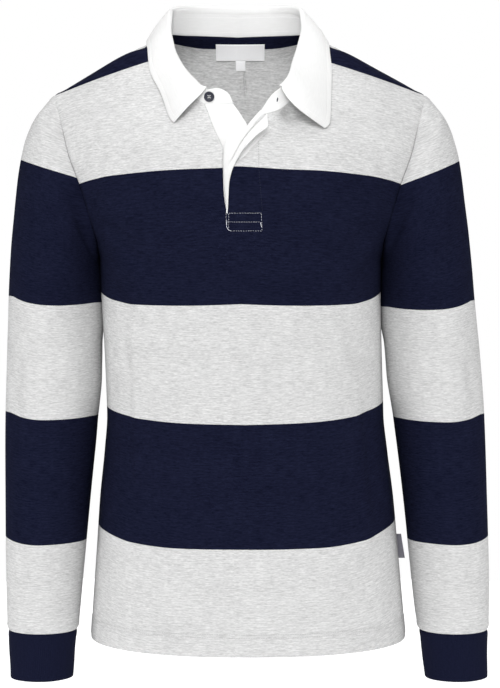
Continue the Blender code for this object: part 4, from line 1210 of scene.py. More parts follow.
def make_cuff(side, word):
    """Band between three rings with two slow waves round it, turned up inside at the wrist."""
    rings = np.array([ring(params, AROUND) for params in records(CUFF)])
    grid = smooth(np.linspace(0, 1, len(rings)), rings, np.linspace(0, 1, CUFF_ROWS))
    away = ring_normals(grid)
    from_top = step_lengths(grid, 0)
    angle = 2 * math.pi * AROUND[None]
    lift = 0.30 * np.sin(5 * angle + from_top / 9 + side) * ease(from_top / 10)
    lift += 0.8 * ditch(from_top) + 0.25 * np.sin(3 * angle + side) * ease(from_top / 40)
    cloth = tube_cloth(side, grid, away, lift, from_top, CUFF_LAYER)
    cloth.turn("bottom", CUFF_TURN, 180, CUFF_INSIDE, steps=8, flange_steps=12)
    cloth.turn("top", SEAM_TURN, 90, 2.0)
    piece = make_piece("cuff_%s_rib" % word, cloth, closed=True)
    return wear(piece, CUFF_KNIT, "cuff_" + word)


cuff_pieces = {word: make_cuff(side, word) for side, word in SIDES}

# %% [markdown]
# ## Collar
#
# A collar has two parts: the stand, a band sewn into the neckline, and the leaf, which rolls over
# the top of the stand and falls to its points. Both follow the same stations round the neck. The
# leaf goes over the top on an arc of 3 mm radius, because folded twill never makes a sharp crease.
# The rim of the leaf is then moved along the panels' normals until it lies on them.

# %% Collar lines
COLLAR = (("neck", "top_x", "top_y", "top_z", "edge_x", "edge_y", "edge_z"),
          (-3, -8, -104.5, -83, -7, -108, -90), (-2.78, -12, -104.5, -75, -14, -108, -90),
          (-2.4, -24, -104.5, -69, -26, -108, -90),
          (-2, -36.7, -103.5, -70.5, -79, -110, -98),
          (-1.67, -50, -93, -60, -86, -102, -85.5), (-1.34, -63, -70, -42, -94, -84, -56),
          (-1, -72, -40, -18, -101.5, -50, -36), (-0.84, -76, -12, 6, -102, -12, -15),
          (-0.66, -75.5, 14, 24, -98, 22, -14), (-0.43, -63, 38, 31, -86, 64, -14),
          (-0.22, -37, 59, 33, -52, 88, -16), (0, 0, 66, 33, 0, 98, -18),
          (0.22, 37, 59, 33, 52, 88, -16), (0.43, 62, 38, 31, 85, 64, -14),
          (0.66, 72.5, 14, 24, 95, 22, -14), (0.84, 74, -12, 6, 103.5, -12, -16),
          (1, 69.5, -40, -18, 107.5, -50, -36), (1.26, 62.5, -68, -40, 106.5, -82, -60),
          (1.5, 56, -90, -56, 104.5, -104, -92), (1.7, 46, -102, -68, 98.2, -110, -101.8),
          (1.85, 36, -106.5, -76, 40, -108, -95), (2, 27, -108, -88, 29, -108, -99))
BUTTON_END = (-7, -104.5, -85.2)
LEAF_FIRST_STATION, LEAF_LAST_STATION, LEAF_STRIPS = 3, 19, 34
STAND_LIFT, LEAF_GAP, LEAF_LIFT, LEAF_ROLL, LEAF_BOW = 0.9, 0.8, 3.2, 3.0, 2.4
LEAF_PASSES, LEAF_ROLL_LEAST, LEAF_ROLL_MOST = 6, 10, 110
LEAF_END_ROLL, LEAF_END_REACH, LEAF_END_BOWS, LEAF_END_LIFT = 2.6, 24.0, (3.0, 8.5), 3.0
COLLAR_WALL, LEAF_COLUMNS, STAND_ROWS, NECK_STRIPS = 1.4, 240, 14, 40


def neck_seam(place):
    """Point on the panels' neck edges: 0 at the back, beyond 2 or -2 on the placket."""
    size = np.abs(place)
    marks = np.linspace(0, 1, NECK_STRIPS + 1)
    back_edge = curve(NECK_BACK, marks)
    points = []
    for front_neck, side in ((NECK_FRONT_RIGHT, -1), (NECK_FRONT_LEFT, 1)):
        edge = np.concatenate([back_edge, curve(front_neck, marks)[1:]]) * (side, 1, 1)
        along = np.linspace(0, 2, 2 * NECK_STRIPS + 1)
        points.append(np.stack([np.interp(size, along, edge[:, axis]) for axis in range(3)], -1))
    on_panels = np.where((place < 0)[:, None], points[0], points[1])
    beyond = np.clip(size - 2, 0, 1)[:, None]
    return on_panels * (1 - beyond) + np.array(BUTTON_END) * beyond


def collar_lines(share):
    """Stations, and the seam, fold and rim of the collar at shares of the way round the neck."""
    table = columns(COLLAR)
    top, edge = points_of(table, "top_"), points_of(table, "edge_")
    length = reach_along(top)
    length /= length[-1]
    seam = neck_seam(smooth(length, table["neck"], share))
    top = smooth(length, top, share)
    seam = seam + unit(top - seam) * STAND_LIFT
    return length, seam, top, smooth(length, edge, share)


def seat_rim(rim):
    """Rim moved along the nearest panel's normal, pass by pass, to LEAF_LIFT above it."""
    down = np.linspace(SHOULDER_TIP, 208, 64)
    half = np.linspace(0, 1, 60)
    panels = [half_front(-1, half, down), half_front(1, half, down),
              back(np.linspace(-1, 1, 160), down)]
    spots = np.concatenate([panel.reshape(-1, 3) for panel in panels])
    outward = np.concatenate([normals(panel).reshape(-1, 3) for panel in panels])
    outward *= np.sign(np.sum(outward * (spots - CHEST_MIDDLE), axis=-1, keepdims=True))
    for _ in range(LEAF_PASSES):
        nearest = np.argmin(np.linalg.norm(rim[:, None] - spots[None], axis=-1), axis=1)
        gap = np.sum((rim - spots[nearest]) * outward[nearest], axis=-1, keepdims=True)
        move = outward[nearest] * (LEAF_LIFT - gap)
        padded = np.concatenate([move[:1], move, move[-1:]])
        rim = rim + (padded[:-2] + 2 * padded[1:-1] + padded[2:]) / 4
    return rim


STATIONS = collar_lines(np.zeros(1))[0]
LEAF_FIRST, LEAF_LAST = STATIONS[LEAF_FIRST_STATION], STATIONS[LEAF_LAST_STATION]
print("leaf from %.2f to %.2f of the way round the stand" % (LEAF_FIRST, LEAF_LAST))

# %% Collar stand and leaf
LEAF_INSIDE, EDGE_STITCH, STAND_TUCK = 10.0, 6.0, 0.4
STAND_FOOT, STAND_FOOT_REACH = np.array((0, -2.2, -1.6)), 40
STAND_SLANT, STAND_SLANT_REACH = 7.5, 15


def make_stand():
    """Band from under the neck seam up to the fold, straight from one line to the other."""
    share = np.concatenate([np.linspace(0, LEAF_FIRST, 26, endpoint=False),
                            np.linspace(LEAF_FIRST, LEAF_LAST, 210, endpoint=False),
                            np.linspace(LEAF_LAST, 1, 26)])
    _, seam, top, _ = collar_lines(share)
    low = seam - unit(top - seam) * STAND_TUCK
    reach = reach_along(top)
    low = low + ease(1 - (reach[-1] - reach) / STAND_FOOT_REACH)[:, None] * STAND_FOOT
    low[:, 0] -= STAND_SLANT * ease(1 - (reach[-1] - reach) / STAND_SLANT_REACH)
    up = np.linspace(0, 1, STAND_ROWS)[:, None, None]
    grid = low[None] * (1 - up) + top[None] * up
    reach, height = step_lengths(grid, 1), step_lengths(grid, 0)
    away = normals(grid)
    away *= np.sign(np.sum(away * (grid - grid.mean(axis=(0, 1))) * (1, 1, 0)))
    cloth = Cloth(grid, np.stack([reach, height], axis=-1) * MM, COLLAR_WALL, away)
    surface = (cloth.outer, cloth.away, cloth.inner)
    cloth.round_off("left", "right", "top")
    return wear(make_piece("stand", cloth), TWILL, "collar_stand"), surface


def leaf_grid():
    """Rows of the leaf: down the inside of the stand, over it on the roll's arc, and down to the
    rim on a line, end + (rim - end) * part, that bows outward by bow * sin(pi * part). The roll is
    tighter at the leaf's two ends, and the front edges bow towards the opening."""
    coarse = np.linspace(LEAF_FIRST, LEAF_LAST, LEAF_STRIPS + 1)
    fine = np.linspace(LEAF_FIRST, LEAF_LAST, LEAF_COLUMNS + 1)
    rim = smooth(coarse, seat_rim(collar_lines(coarse)[3]), fine)
    _, seam, top, _ = collar_lines(fine)
    up = unit(top - seam)
    on = unit(np.gradient(top, axis=0))
    out = unit(np.cross(up, on))
    reach = reach_along(top)
    near_first = ease(1 - reach / LEAF_END_REACH)
    near_last = ease(1 - (reach[-1] - reach) / LEAF_END_REACH)
    near = (near_first + near_last)[:, None]
    roll = LEAF_ROLL + (LEAF_END_ROLL - LEAF_ROLL) * near
    hub = top + up * LEAF_GAP + out * (roll - COLLAR_WALL)
    side_bow = (LEAF_END_BOWS[1] * near_last - LEAF_END_BOWS[0] * near_first)[:, None]
    fall = rim - hub
    finish = np.arctan2(np.sum(fall * out, axis=-1), -np.sum(fall * up, axis=-1))
    finish = np.clip(finish, math.radians(LEAF_ROLL_LEAST), math.radians(LEAF_ROLL_MOST))
    begin = hub - roll * out
    rows = [begin - up * tail - out * (0.25 * ease(tail / 3) - 1.1 * ease(tail / 5 - 1))
            for tail in np.linspace(LEAF_INSIDE, 0, 9)[:-1]]
    for part in np.linspace(0, 1, 19):
        angle = (math.pi * (1 - part) + finish * part)[:, None]
        rows.append(hub + roll * (np.cos(angle) * out + np.sin(angle) * up))
    end = rows[-1]
    facing = unit(end - hub)
    on = unit(on - facing * np.sum(on * facing, axis=-1, keepdims=True))
    for part in np.linspace(0, 1, 34)[1:]:
        rows.append(end + (rim - end) * part
                    + facing * (LEAF_BOW + LEAF_END_LIFT * near) * math.sin(math.pi * part)
                    + on * side_bow * math.sin(math.pi * part ** 0.75))
    return np.array(rows)


def make_leaf():
    """The leaf with a slight waviness, and a groove under its edge stitching."""
    grid = leaf_grid()
    away = normals(grid)
    away *= np.sign(np.sum(away[20] * (grid[20] - grid[2])))
    from_rim = from_last(grid)
    reach = step_lengths(grid, 1)
    ends = np.minimum(reach, reach[:, -1:] - reach)
    lift = 0.35 * np.sin(reach / 17 + from_rim / 21) * np.sin(from_rim / 13 + 0.7)
    lift *= ease(from_rim / 12) * ease(ends / 10)
    edge = np.minimum(from_rim, ends)
    lift -= 0.28 * np.exp(-((edge - EDGE_STITCH) / 1.1) ** 2)
    lift += 0.12 * np.exp(-((edge - 2.6) / 2.2) ** 2)
    uv = np.stack([reach - reach[:, -1:] / 2, from_rim], axis=-1) * MM
    cloth = Cloth(grid + away * lift[..., None], uv, COLLAR_WALL, away)
    surface = (cloth.outer, cloth.away)
    cloth.round_off("left", "right", "bottom", "top")
    return wear(make_piece("leaf", cloth), TWILL, "collar_fall"), surface


stand_piece, stand_surface = make_stand()
leaf_piece, leaf_surface = make_leaf()

# %% [markdown]
# ## Placket
#
# The slit is bound with the collar's white twill. On the wearer's left the facing is turned out
# over the panel as a narrow lip and then runs down inside. On the wearer's right a flat strip fills
# the opening, passes behind the other edge and ends in a stitched box. Both are worked out from the
# panel's own form, so they stay on it.

# %% Height of the lip
FACING_END_Z, FACING_WIDTH, FACING_START = -206.5, 30, 0.4
FACING_TAPER_Z, FACING_TAPER = -176, 32
UNDER_TUCK, UNDER_WIDTH, UNDER_TOP_Z, UNDER_TOP_WIDTH = 7, 37, -87.2, 31
UNDER_WIDENING, UNDER_END_Z = 0.3, -227
UNDER_SINK, UNDER_DIP, UNDER_DIP_START, UNDER_DIP_LENGTH = 1.4, 3.0, 1.2, 2.4
PLACKET_WALL, SEAM_GAP = 1.0, 0.3
PLACKET_ROWS = 90


def chest_depth(x, z):
    """y of the front's own surface at x and z near the slit."""
    table = columns(FRONT)
    params = section(FRONT, np.interp(-z, -table["z_mid"], table["down"]))
    turn = np.radians(params["turn"])
    power = 2 / params["square"]
    sine = (np.abs(x) / params["x_edge"] * np.sin(turn) ** power) ** (1 / power)
    cosine = np.sqrt(np.clip(1 - sine ** 2, 0, 1))
    end_depth = np.cos(turn) ** power
    depth = (cosine ** power - end_depth) / (1 - end_depth)
    return params["y_edge"] + (params["y_mid"] - params["y_edge"]) * depth


LIP_LINES = (("z", "bend", "crease"),
             (-94, 23, 30), (-98.7, 18.5, 27), (-103.7, 14, 22.9), (-109.6, 9, 17.8),
             (-118.9, 1.5, 9.4), (-130.6, -20, 1), (-142.4, -19.8, -5.7), (-152, -19.4, -10.5),
             (-160, -18.9, -13), (-173, -17.6, -14), (-183, -17.0, -14), (-191.5, -16.4, -14),
             (-198, -15.4, -14), (-204, -14.5, -14), (-210, -14.4, -14))
LIP_COLUMNS, BEND_SLANT = 44, 0.79
CREASE = {"depth": 1.6, "width": 0.9, "top": -104, "top_depth": 4.6, "top_width": 2.6, "step": 0.9}


def lip_height(x, z):
    """How far the lip stands off the panel: a narrow crease that opens into a hollow at the top,
    and from there a rise to the free edge."""
    beside = x - at_height(LIP_LINES, "crease", z)
    top = ease((z - CREASE["top"] + 9) / 12)
    depth = CREASE["depth"] + (CREASE["top_depth"] - CREASE["depth"]) * top
    width = CREASE["width"] + (CREASE["top_width"] - CREASE["width"]) * top
    fade = ease((160 + z) / 14)
    rise = CREASE["step"] * fade * ease(beside / 1.6) + LIP_RAISE * lip_fade(z) * ease(beside / 9)
    return rise - depth * fade * np.exp(-(beside / width) ** 2)


print("lip stands off by up to %.1f mm" % lip_height(np.linspace(0, 30, 31), -125.0).max())


# %% Facing and under placket, row by row
def facing_grid():
    """Each row: the lip out over the panel, a half turn round its edge, and the inside."""
    panel = half_front(1, np.linspace(0, 0.3, 40), np.linspace(SHOULDER_TIP, 212, PLACKET_ROWS))
    panel = panel[panel[:, 0, 2] > FACING_END_Z]
    outward = front_normals(panel)
    turned = np.linspace(0, math.pi, 12)[1:-1, None]
    side_way = unit(np.cross(np.gradient(panel[:, 0], axis=0), outward[:, 0]))
    side_way *= -np.sign(side_way[:, :1])
    rows = []
    for points, away, side in zip(panel, outward, side_way):
        middle = points - away * JERSEY_WALL / 2
        full = 1 - ease((FACING_TAPER_Z - points[0, 2]) / FACING_TAPER)
        reach = (JERSEY_WALL / 2 + SEAM_GAP + PLACKET_WALL) * (0.45 + 0.55 * full)
        past = points[:, 0] - at_height(LIP_EDGE, "x", points[:, 2])
        lip = max(float(np.interp(0, past, reach_along(points))), FACING_START + 0.1)
        outer = walk(np.linspace(lip, FACING_START, LIP_COLUMNS), middle, middle + away * reach)
        outer = outer + lip_height(outer[:, 0], points[0, 2])[:, None] * away[0]
        inner = walk(np.linspace(FACING_START, FACING_WIDTH, 16), middle, middle - away * reach)
        inner = inner - notch(inner[:, 0], inner[:, 2])[:, None] * away[0]
        bend_x = float(at_height(LIP_LINES, "bend", points[0, 2]))
        wide = max(0.0, middle[0, 0] - reach - bend_x)
        bend = middle[0] + reach * np.cos(turned) * away[0]
        bend = bend + (reach + BEND_SLANT * wide) * np.sin(turned) * side
        rows.append(np.concatenate([outer, bend, inner]))
    return np.array(rows)


def under_grid():
    """Each row: from under the panel's right edge across the opening, sunk behind the front, and
    deeper where it passes behind the left edge."""
    down = np.linspace(SHOULDER_TIP, 240, PLACKET_ROWS + 24)
    panel = half_front(-1, np.linspace(0, 0.1, 24), down)
    panel = panel[panel[:, 0, 2] > UNDER_END_Z]
    inward = -front_normals(panel)
    rows = []
    for points, deeper in zip(panel, inward):
        edge = points[0]
        widest = min(UNDER_WIDTH, UNDER_TOP_WIDTH + UNDER_WIDENING * (UNDER_TOP_Z - edge[2]))
        x = edge[0] + np.linspace(0, widest, 32)[1:]
        z = np.full_like(x, edge[2])
        y = edge[1] + chest_depth(x, z) - chest_depth(np.array(edge[0]), np.array(edge[2]))
        line = np.concatenate([walk(np.linspace(UNDER_TUCK, 0, 8), points),
                               np.stack([x, y, z], axis=-1)])
        cover = float(at_height(SLIT, "left_edge", edge[2]))
        start = min(UNDER_DIP_START, 0.4 * (cover - edge[0]))
        sink = UNDER_SINK + UNDER_DIP * ease((line[:, 0] - cover + start) / UNDER_DIP_LENGTH)
        rows.append(line + sink[:, None] * deeper[0])
    return np.array(rows)


# %% Facing and under placket
def make_facing():
    """The facing with a groove under the stitches along its free edge."""
    grid = facing_grid()
    away = normals(grid)
    away *= -np.sign(away[:, :1, 1:2].mean())
    across, along = step_lengths(grid, 1), step_lengths(grid, 0)
    dip = -0.22 * np.exp(-((across - 3.2) / 0.9) ** 2)
    uv = np.stack([across, along], axis=-1) * MM
    cloth = Cloth(grid + away * dip[..., None], uv, PLACKET_WALL, away)
    surface = (cloth.outer, cloth.away)
    cloth.round_off("left", "right", "bottom", "top")
    return wear(make_piece("facing", cloth), TWILL, "placket_facing"), surface


def make_under():
    """The flat strip that fills the opening, with its raw edge hidden on the wearer's right."""
    grid = under_grid()
    uv = np.stack([step_lengths(grid, 1), step_lengths(grid, 0)], axis=-1) * MM
    cloth = Cloth(grid, uv, PLACKET_WALL, front_normals(grid))
    cloth.round_off("right", "bottom", "top")
    return wear(make_piece("under_strip", cloth), TWILL, "placket_under")


facing_piece, facing_surface = make_facing()
under_piece = make_under()

# %% [markdown]
# ## Labels and side tab
#
# The neck label and the tab below it are woven tape, sewn to the inside of the back neck. They are
# laid on the back panel's own form, a little in front of its inside. The tab in the side seam is a
# strip folded in two with both ends in the seam. All three are left blank.

# %% Labels and side tab
NECK_LABEL = {"x_low": -28.3, "x_high": 28.3, "z_low": -25.6, "z_high": -7.5}
SIZE_TAB = {"x_low": -5.3, "x_high": 5.7, "z_low": -37.4, "z_high": -26.0}
LABEL_SHIFT, LABEL_SINK, TAPE_WALL = 3, 2.7, 0.6
SIDE_TAB = {"z_high": -575.0, "z_low": -603.0, "reach": 6.0, "wall": 0.35, "fold": 0.4,
            "slant": 0.07}


def place_on(surface, x, z):
    """Points and normals of a panel's surface at x and z, found row by row."""
    both = np.concatenate(surface[:2], axis=-1)
    rows = np.array([[np.interp(x, row[:, 0], row[:, axis]) for axis in range(1, 6)]
                     for row in both]).transpose(0, 2, 1)
    heights = rows[..., 1]
    low = np.clip(np.argmax(heights < z, axis=0), 1, len(rows) - 1)
    at = np.arange(len(x))
    part = ((heights[low - 1, at] - z) / (heights[low - 1, at] - heights[low, at]))[:, None]
    found = rows[low - 1, at] * (1 - part) + rows[low, at] * part
    return np.stack([x, found[:, 0], z], axis=-1), unit(found[:, 2:])


def make_label(name, size, rows, width, node):
    """Tape in front of the inside of the back, with a slight pillow between its sewn ends."""
    x = np.linspace(size["x_low"], size["x_high"], width) + LABEL_SHIFT
    z = np.linspace(size["z_high"], size["z_low"], rows)
    across, height = np.meshgrid(x, z)
    smooth_back = back(np.linspace(-0.35, 0.35, 71), np.linspace(SHOULDER_TIP, 208, 120))
    points, _ = place_on((smooth_back, smooth_back), across.ravel(), height.ravel())
    grid = points.reshape(rows, width, 3)
    part_x, part_z = np.meshgrid(np.linspace(0, 1, width), np.linspace(0, 1, rows))
    rise = np.sin(math.pi * part_z)
    pillow = 0.45 * np.sin(math.pi * part_x) ** 0.5 * rise ** 0.7
    pillow += 0.12 * np.sin(9 * part_x + 2) * rise
    grid[..., 1] -= LABEL_SINK + pillow
    uv = np.stack([across - x[0], z[0] - height], axis=-1) * MM
    cloth = Cloth(grid, uv, TAPE_WALL, front_normals(grid))
    surface = (cloth.outer, cloth.away)
    cloth.round_off("left", "right", "top", "bottom")
    return wear(make_piece(name, cloth), LABEL_TAPE, node), surface


label_piece, label_surface = make_label("blank_neck_label", NECK_LABEL, 22, 60, "neck_label")
tab_piece, _ = make_label("blank_size_tab", SIZE_TAB, 16, 16, "size_tab")


def make_side_tab():
    """Strip out from the side seam, round a fold, and back."""
    z = np.linspace(SIDE_TAB["z_high"], SIDE_TAB["z_low"], 24)
    edge = section(FRONT, -z)["x_edge"]
    out = np.linspace(-1.5, SIDE_TAB["reach"] - SIDE_TAB["fold"], 12)
    x = edge[:, None] + out[None] + SIDE_TAB["slant"] * (z[0] - z)[:, None] * ease(out / 3)[None]
    y = (-SIDE_TAB["fold"] - 0.2 * np.sin(z / 5)[:, None] * ease(out / 5)[None]
         + 0.2 * (out[None] / 6) ** 2)
    grid = np.stack([x, y, np.broadcast_to(z[:, None], x.shape)], axis=-1)
    uv = np.stack([x - x.min(), z[0] - grid[..., 2]], axis=-1) * MM
    cloth = Cloth(grid, uv, SIDE_TAB["wall"], front_normals(grid))
    cloth.turn("right", SIDE_TAB["fold"], 180, SIDE_TAB["reach"] + 0.5, steps=8, flange_steps=6)
    return wear(make_piece("blank_side_tab", cloth), SIDE_TAPE, "side_tab")


side_tab_piece = make_side_tab()

# %% [markdown]
# ## Button
#
# A small four-hole button is turned from a profile: a flat back, a rounded rim, and a dished middle.
# The holes are cut with a Boolean modifier, which is applied at once so that only the finished mesh
# is left. Two loops of white thread hold it on the stand.

# %% Place and profile of the button
BUTTON = {"x": -33.2, "z": -78.5, "radius": 5.7, "face": 1.65, "hole": 0.75, "hole_offset": 1.2}
BUTTON_PROFILE = ((0, 0), (4.4, 0), (5.2, 0.12), (5.6, 0.6), (5.7, 1.2), (5.6, 1.8), (5.25, 2.25),
                  (4.85, 2.4), (4.5, 2.28), (4.2, 1.95), (3.9, 1.72), (2.6, 1.65), (0, 1.65))


def upright_frame(middle, outward):
    """A place on a surface: its middle, and the directions across, up and outward."""
    across = unit(np.cross(outward, (0, 0, 1)))
    across *= np.sign(across[0])
    up = unit(np.cross(outward, across))
    return middle, across, up * np.sign(up[2]), outward


def button_place():
    """Frame at the middle of the button's back, which touches the stand where that is highest."""
    points, away = (part.reshape(-1, 3) for part in stand_surface[:2])
    near = np.hypot(points[:, 0] - BUTTON["x"], points[:, 2] - BUTTON["z"]) < BUTTON["radius"] + 1
    outward = unit(away[near].mean(axis=0) * (0.6, 1, 0.4))
    front = float((points[near] @ outward).max())
    middle = np.array([BUTTON["x"], 0, BUTTON["z"]])
    middle[1] = (front + 0.15 - middle @ outward) / outward[1]
    return upright_frame(middle, outward)


# %% Turned meshes
def turned_grid(profile, sides):
    """Profile of (radius, height) turned about the height axis."""
    angle = np.linspace(0, 2 * math.pi, sides, endpoint=False)
    profile = np.array(profile)
    return np.stack([profile[:, :1] * np.cos(angle), profile[:, :1] * np.sin(angle),
                     np.broadcast_to(profile[:, 1:], (len(profile), sides))], axis=-1)


def closed_mesh(name, grid):
    """Mesh of a turned grid whose first and last rings are points."""
    rows, sides = grid.shape[:2]
    middle = grid[1:-1].reshape(-1, 3)
    points = np.concatenate([grid[0, :1], middle, grid[-1, :1]])
    ring_start = 1 + sides * np.arange(rows - 2)
    here = (ring_start[:-1, None] + np.arange(sides)).ravel()
    after = (ring_start[:-1, None] + (np.arange(sides) + 1) % sides).ravel()
    quads = np.stack([here, after, after + sides, here + sides], -1).tolist()
    turn = np.arange(sides)
    back_fan = np.stack([0 * turn, 1 + (turn + 1) % sides, 1 + turn], -1).tolist()
    last = int(ring_start[-1])
    front_fan = np.stack([0 * turn + len(points) - 1, last + turn, last + (turn + 1) % sides],
                         -1).tolist()
    mesh = bpy.data.meshes.new(name)
    mesh.from_pydata(points.tolist(), [], quads + back_fan + front_fan)
    return mesh


def to_place(points, place):
    """Points in a frame of (middle, across, up, outward) moved to the shirt, in metres."""
    middle, across, up, outward = place
    moved = middle + points[..., :1] * across + points[..., 1:2] * up + points[..., 2:] * outward
    return swing(moved) * MM


def point_outwards(mesh):
    """Recalculate the normals of a closed mesh, so that they point outwards."""
    work = bmesh.new()
    work.from_mesh(mesh)
    bmesh.ops.recalc_face_normals(work, faces=work.faces)
    work.to_mesh(mesh)
    work.free()


def settle(mesh, place):
    """Move a mesh that was made in a frame to its place on the shirt."""
    points = np.empty(len(mesh.vertices) * 3)
    mesh.vertices.foreach_get("co", points)
    mesh.vertices.foreach_set("co", to_place(points.reshape(-1, 3), place).ravel())
    point_outwards(mesh)


# %% Button
def make_cutter():
    """Four upright cylinders where the holes go."""
    mesh = bpy.data.meshes.new("cutter")
    work = bmesh.new()
    for across in (-1, 1):
        for up in (-1, 1):
            made = bmesh.ops.create_cone(work, cap_ends=True, segments=20, depth=8,
                                         radius1=BUTTON["hole"], radius2=BUTTON["hole"])
            shift = (across * BUTTON["hole_offset"], up * BUTTON["hole_offset"], 0)
            bmesh.ops.translate(work, verts=made["verts"], vec=shift)
    work.to_mesh(mesh)
    work.free()
    return new_object("cutter", mesh)


def make_button():
    """The turned disc, less its holes, on the stand."""
    place = button_place()
    button = add_piece("navy_button_disc", closed_mesh("button", turned_grid(BUTTON_PROFILE, 64)))
    cutter = make_cutter()
    holes = button.modifiers.new("holes", "BOOLEAN")
    holes.operation, holes.solver, holes.object = "DIFFERENCE", "EXACT", cutter
    shape = button.evaluated_get(bpy.context.evaluated_depsgraph_get())
    mesh = bpy.data.meshes.new_from_object(shape)
    button.modifiers.clear()
    bpy.data.objects.remove(cutter, do_unlink=True)
    settle(mesh, place)
    button.data = mesh
    mesh.set_sharp_from_angle(angle=math.radians(40))
    return wear(button, BUTTON_RESIN, "button"), place


button_piece, button_frame = make_button()
print("button: %d faces" % len(button_piece.data.polygons))

# %% [markdown]
# ## Stitching
#
# Topstitching is a row of short, slightly humped pieces of thread that dip into the cloth at both
# ends. One small tube is worked out for every stitch of a line at once, along a path that lies on
# the finished surface of a piece. A painted dotted line would look the same from far away, but not
# from near, or from the side.

# %% Stitches along a path
STITCH = {"length": 2.7, "gap": 0.7, "radius": 0.24, "hump": 0.22, "sink": 0.16}


def stitch_tubes(path, away, length=STITCH["length"], gap=STITCH["gap"], radius=STITCH["radius"]):
    """Tubes of a stitch line: point + normal * (hump (1 - t^2) - sink t^2), t from -1 to 1, with
    rings of six points that narrow to the ends."""
    total = reach_along(path)[-1]
    count = max(1, int(round(total / length)))
    start = np.arange(count) * total / count
    t = np.array([-1, -0.6, 0, 0.6, 1])
    along = start[:, None] + total / count / 2 + t * (total / count - gap) / 2
    spot = walk(along, path)
    normal = unit(walk(along, path, away))
    on = unit(np.gradient(spot, axis=1))
    side = unit(np.cross(on, normal))
    hump = (STITCH["hump"] * (1 - t ** 2) - STITCH["sink"] * t ** 2)[None, :, None]
    width = (radius * np.array([0.35, 0.85, 1, 0.85, 0.35]))[None, :, None, None]
    angle = np.linspace(0, 2 * math.pi, 6, endpoint=False)[:, None]
    ring_way = (np.cos(angle) * side[:, :, None] + np.sin(angle) * normal[:, :, None])
    return (spot + normal * hump)[:, :, None] + width * ring_way


def tube_faces(count, stations=5, sides=6):
    """Quads of each tube and the two faces that close it."""
    ring_index = np.arange(count * stations * sides).reshape(count, stations, sides)
    after = np.roll(ring_index, -1, axis=2)
    quads = np.stack([ring_index[:, :-1], after[:, :-1], after[:, 1:], ring_index[:, 1:]], -1)
    return (quads.reshape(-1, 4).tolist() + ring_index[:, 0, ::-1].tolist()
            + ring_index[:, -1].tolist())


def make_stitches(name, lines, material, slot, **sizes):
    """One object for several lines, each a path and its normals."""
    tubes = np.concatenate([stitch_tubes(path, away, **sizes) for path, away in lines])
    mesh = bpy.data.meshes.new(name)
    mesh.from_pydata((swing(tubes.reshape(-1, 3)) * MM).tolist(), [], tube_faces(len(tubes)))
    point_outwards(mesh)
    mesh.shade_smooth()
    print("%-24s %4d stitches" % (name, len(tubes)))
    return wear(add_piece(name, mesh), material)


def line_at(surface, distance_from_edge, distance):
    """Path across a grid where the distance from its last row has a value, one point a column."""
    points, away = surface[:2]
    low = np.clip(np.argmax(distance_from_edge <= distance, axis=0), 1, len(points) - 1)
    at = np.arange(points.shape[1])
    before, after = distance_from_edge[low - 1, at], distance_from_edge[low, at]
    part = np.clip((before - distance) / np.maximum(before - after, 1e-6), 0, 1)[:, None]
    return (points[low - 1, at] * (1 - part) + points[low, at] * part,
            unit(away[low - 1, at] * (1 - part) + away[low, at] * part))


# %% Hem stitching
HEM_STITCH_HEIGHTS = (20.0, 23.5)


def make_hem_stitches(name, surface):
    """Two rows of stitches at their heights above the hem's fold."""
    below = from_last(surface[0])
    lines = [line_at(surface, below, height) for height in HEM_STITCH_HEIGHTS]
    return make_stitches(name, lines, GREY_THREAD, "striped_jersey")


front_hem_stitches = make_hem_stitches("front_hem_stitches", front_surface)
back_hem_stitches = make_hem_stitches("back_hem_stitches", back_surface)


# %% Placket stitching
BOX_LEFT, BOX_RIGHT, BOX_TOP, BOX_MIDDLE, BOX_BOTTOM = -15.2, 23.8, -205.9, -215.5, -225.2
BOX_LINES = (((BOX_LEFT, BOX_TOP), (BOX_RIGHT, BOX_TOP)),
             ((BOX_LEFT, BOX_MIDDLE), (BOX_RIGHT - 1.5, BOX_MIDDLE), (BOX_RIGHT, BOX_MIDDLE - 2.0),
              (BOX_RIGHT, BOX_BOTTOM)),
             ((BOX_LEFT, BOX_TOP), (BOX_LEFT + 0.4, BOX_BOTTOM + 4.5),
              (BOX_LEFT + 2.0, BOX_BOTTOM + 1.4), (BOX_LEFT + 5.0, BOX_BOTTOM),
              (BOX_RIGHT, BOX_BOTTOM)),
             ((BOX_LEFT + 2.9, BOX_TOP), (BOX_LEFT + 2.9, BOX_BOTTOM)),
             ((BOX_RIGHT - 0.6, BOX_TOP), (BOX_RIGHT, BOX_MIDDLE - 2.0)))
TACK_LINES = (((BOX_LEFT + 0.3, BOX_MIDDLE + 2.0), (BOX_LEFT + 0.6, BOX_BOTTOM + 4.5),
               (BOX_LEFT + 2.4, BOX_BOTTOM + 1.2), (BOX_LEFT + 5.0, BOX_BOTTOM + 0.2)),
              ((BOX_RIGHT - 1.6, BOX_MIDDLE - 0.6), (BOX_RIGHT - 0.2, BOX_MIDDLE - 5.6)))
PLACKET_LINES = (("name", "lines", "thread", "sizes"),
                 ("placket_box_stitches", BOX_LINES, PALE_THREAD, {"radius": 0.13}),
                 ("placket_bar_tacks", TACK_LINES, PALE_THREAD,
                  {"length": 1.6, "gap": 0.1, "radius": 0.32}),
                 # This stitch line is darker than its thread would be: partly thread, partly painted
                 # shade of the crease along it.
                 ("placket_stitches_grey", (((20.6, -118.0), (20.8, -156.0)),), THREAD_AND_CREASE_SHADE,
                  {"radius": 0.2}),
                 ("placket_stitches_navy", (((20.8, -157.5), (24.4, -204.0)),), NAVY_THREAD_AND_SLIT_SHADOW,
                  {"radius": 0.16}))


def stitched_line(corners, surface):
    """Straight runs between corners (x, z), laid on a surface at every millimetre."""
    corners = np.array([(x, 0.0, z) for x, z in corners], dtype=float)
    spots = walk(np.arange(0, reach_along(corners)[-1] + 1), corners)
    return place_on(surface, spots[:, 0], spots[:, 2])


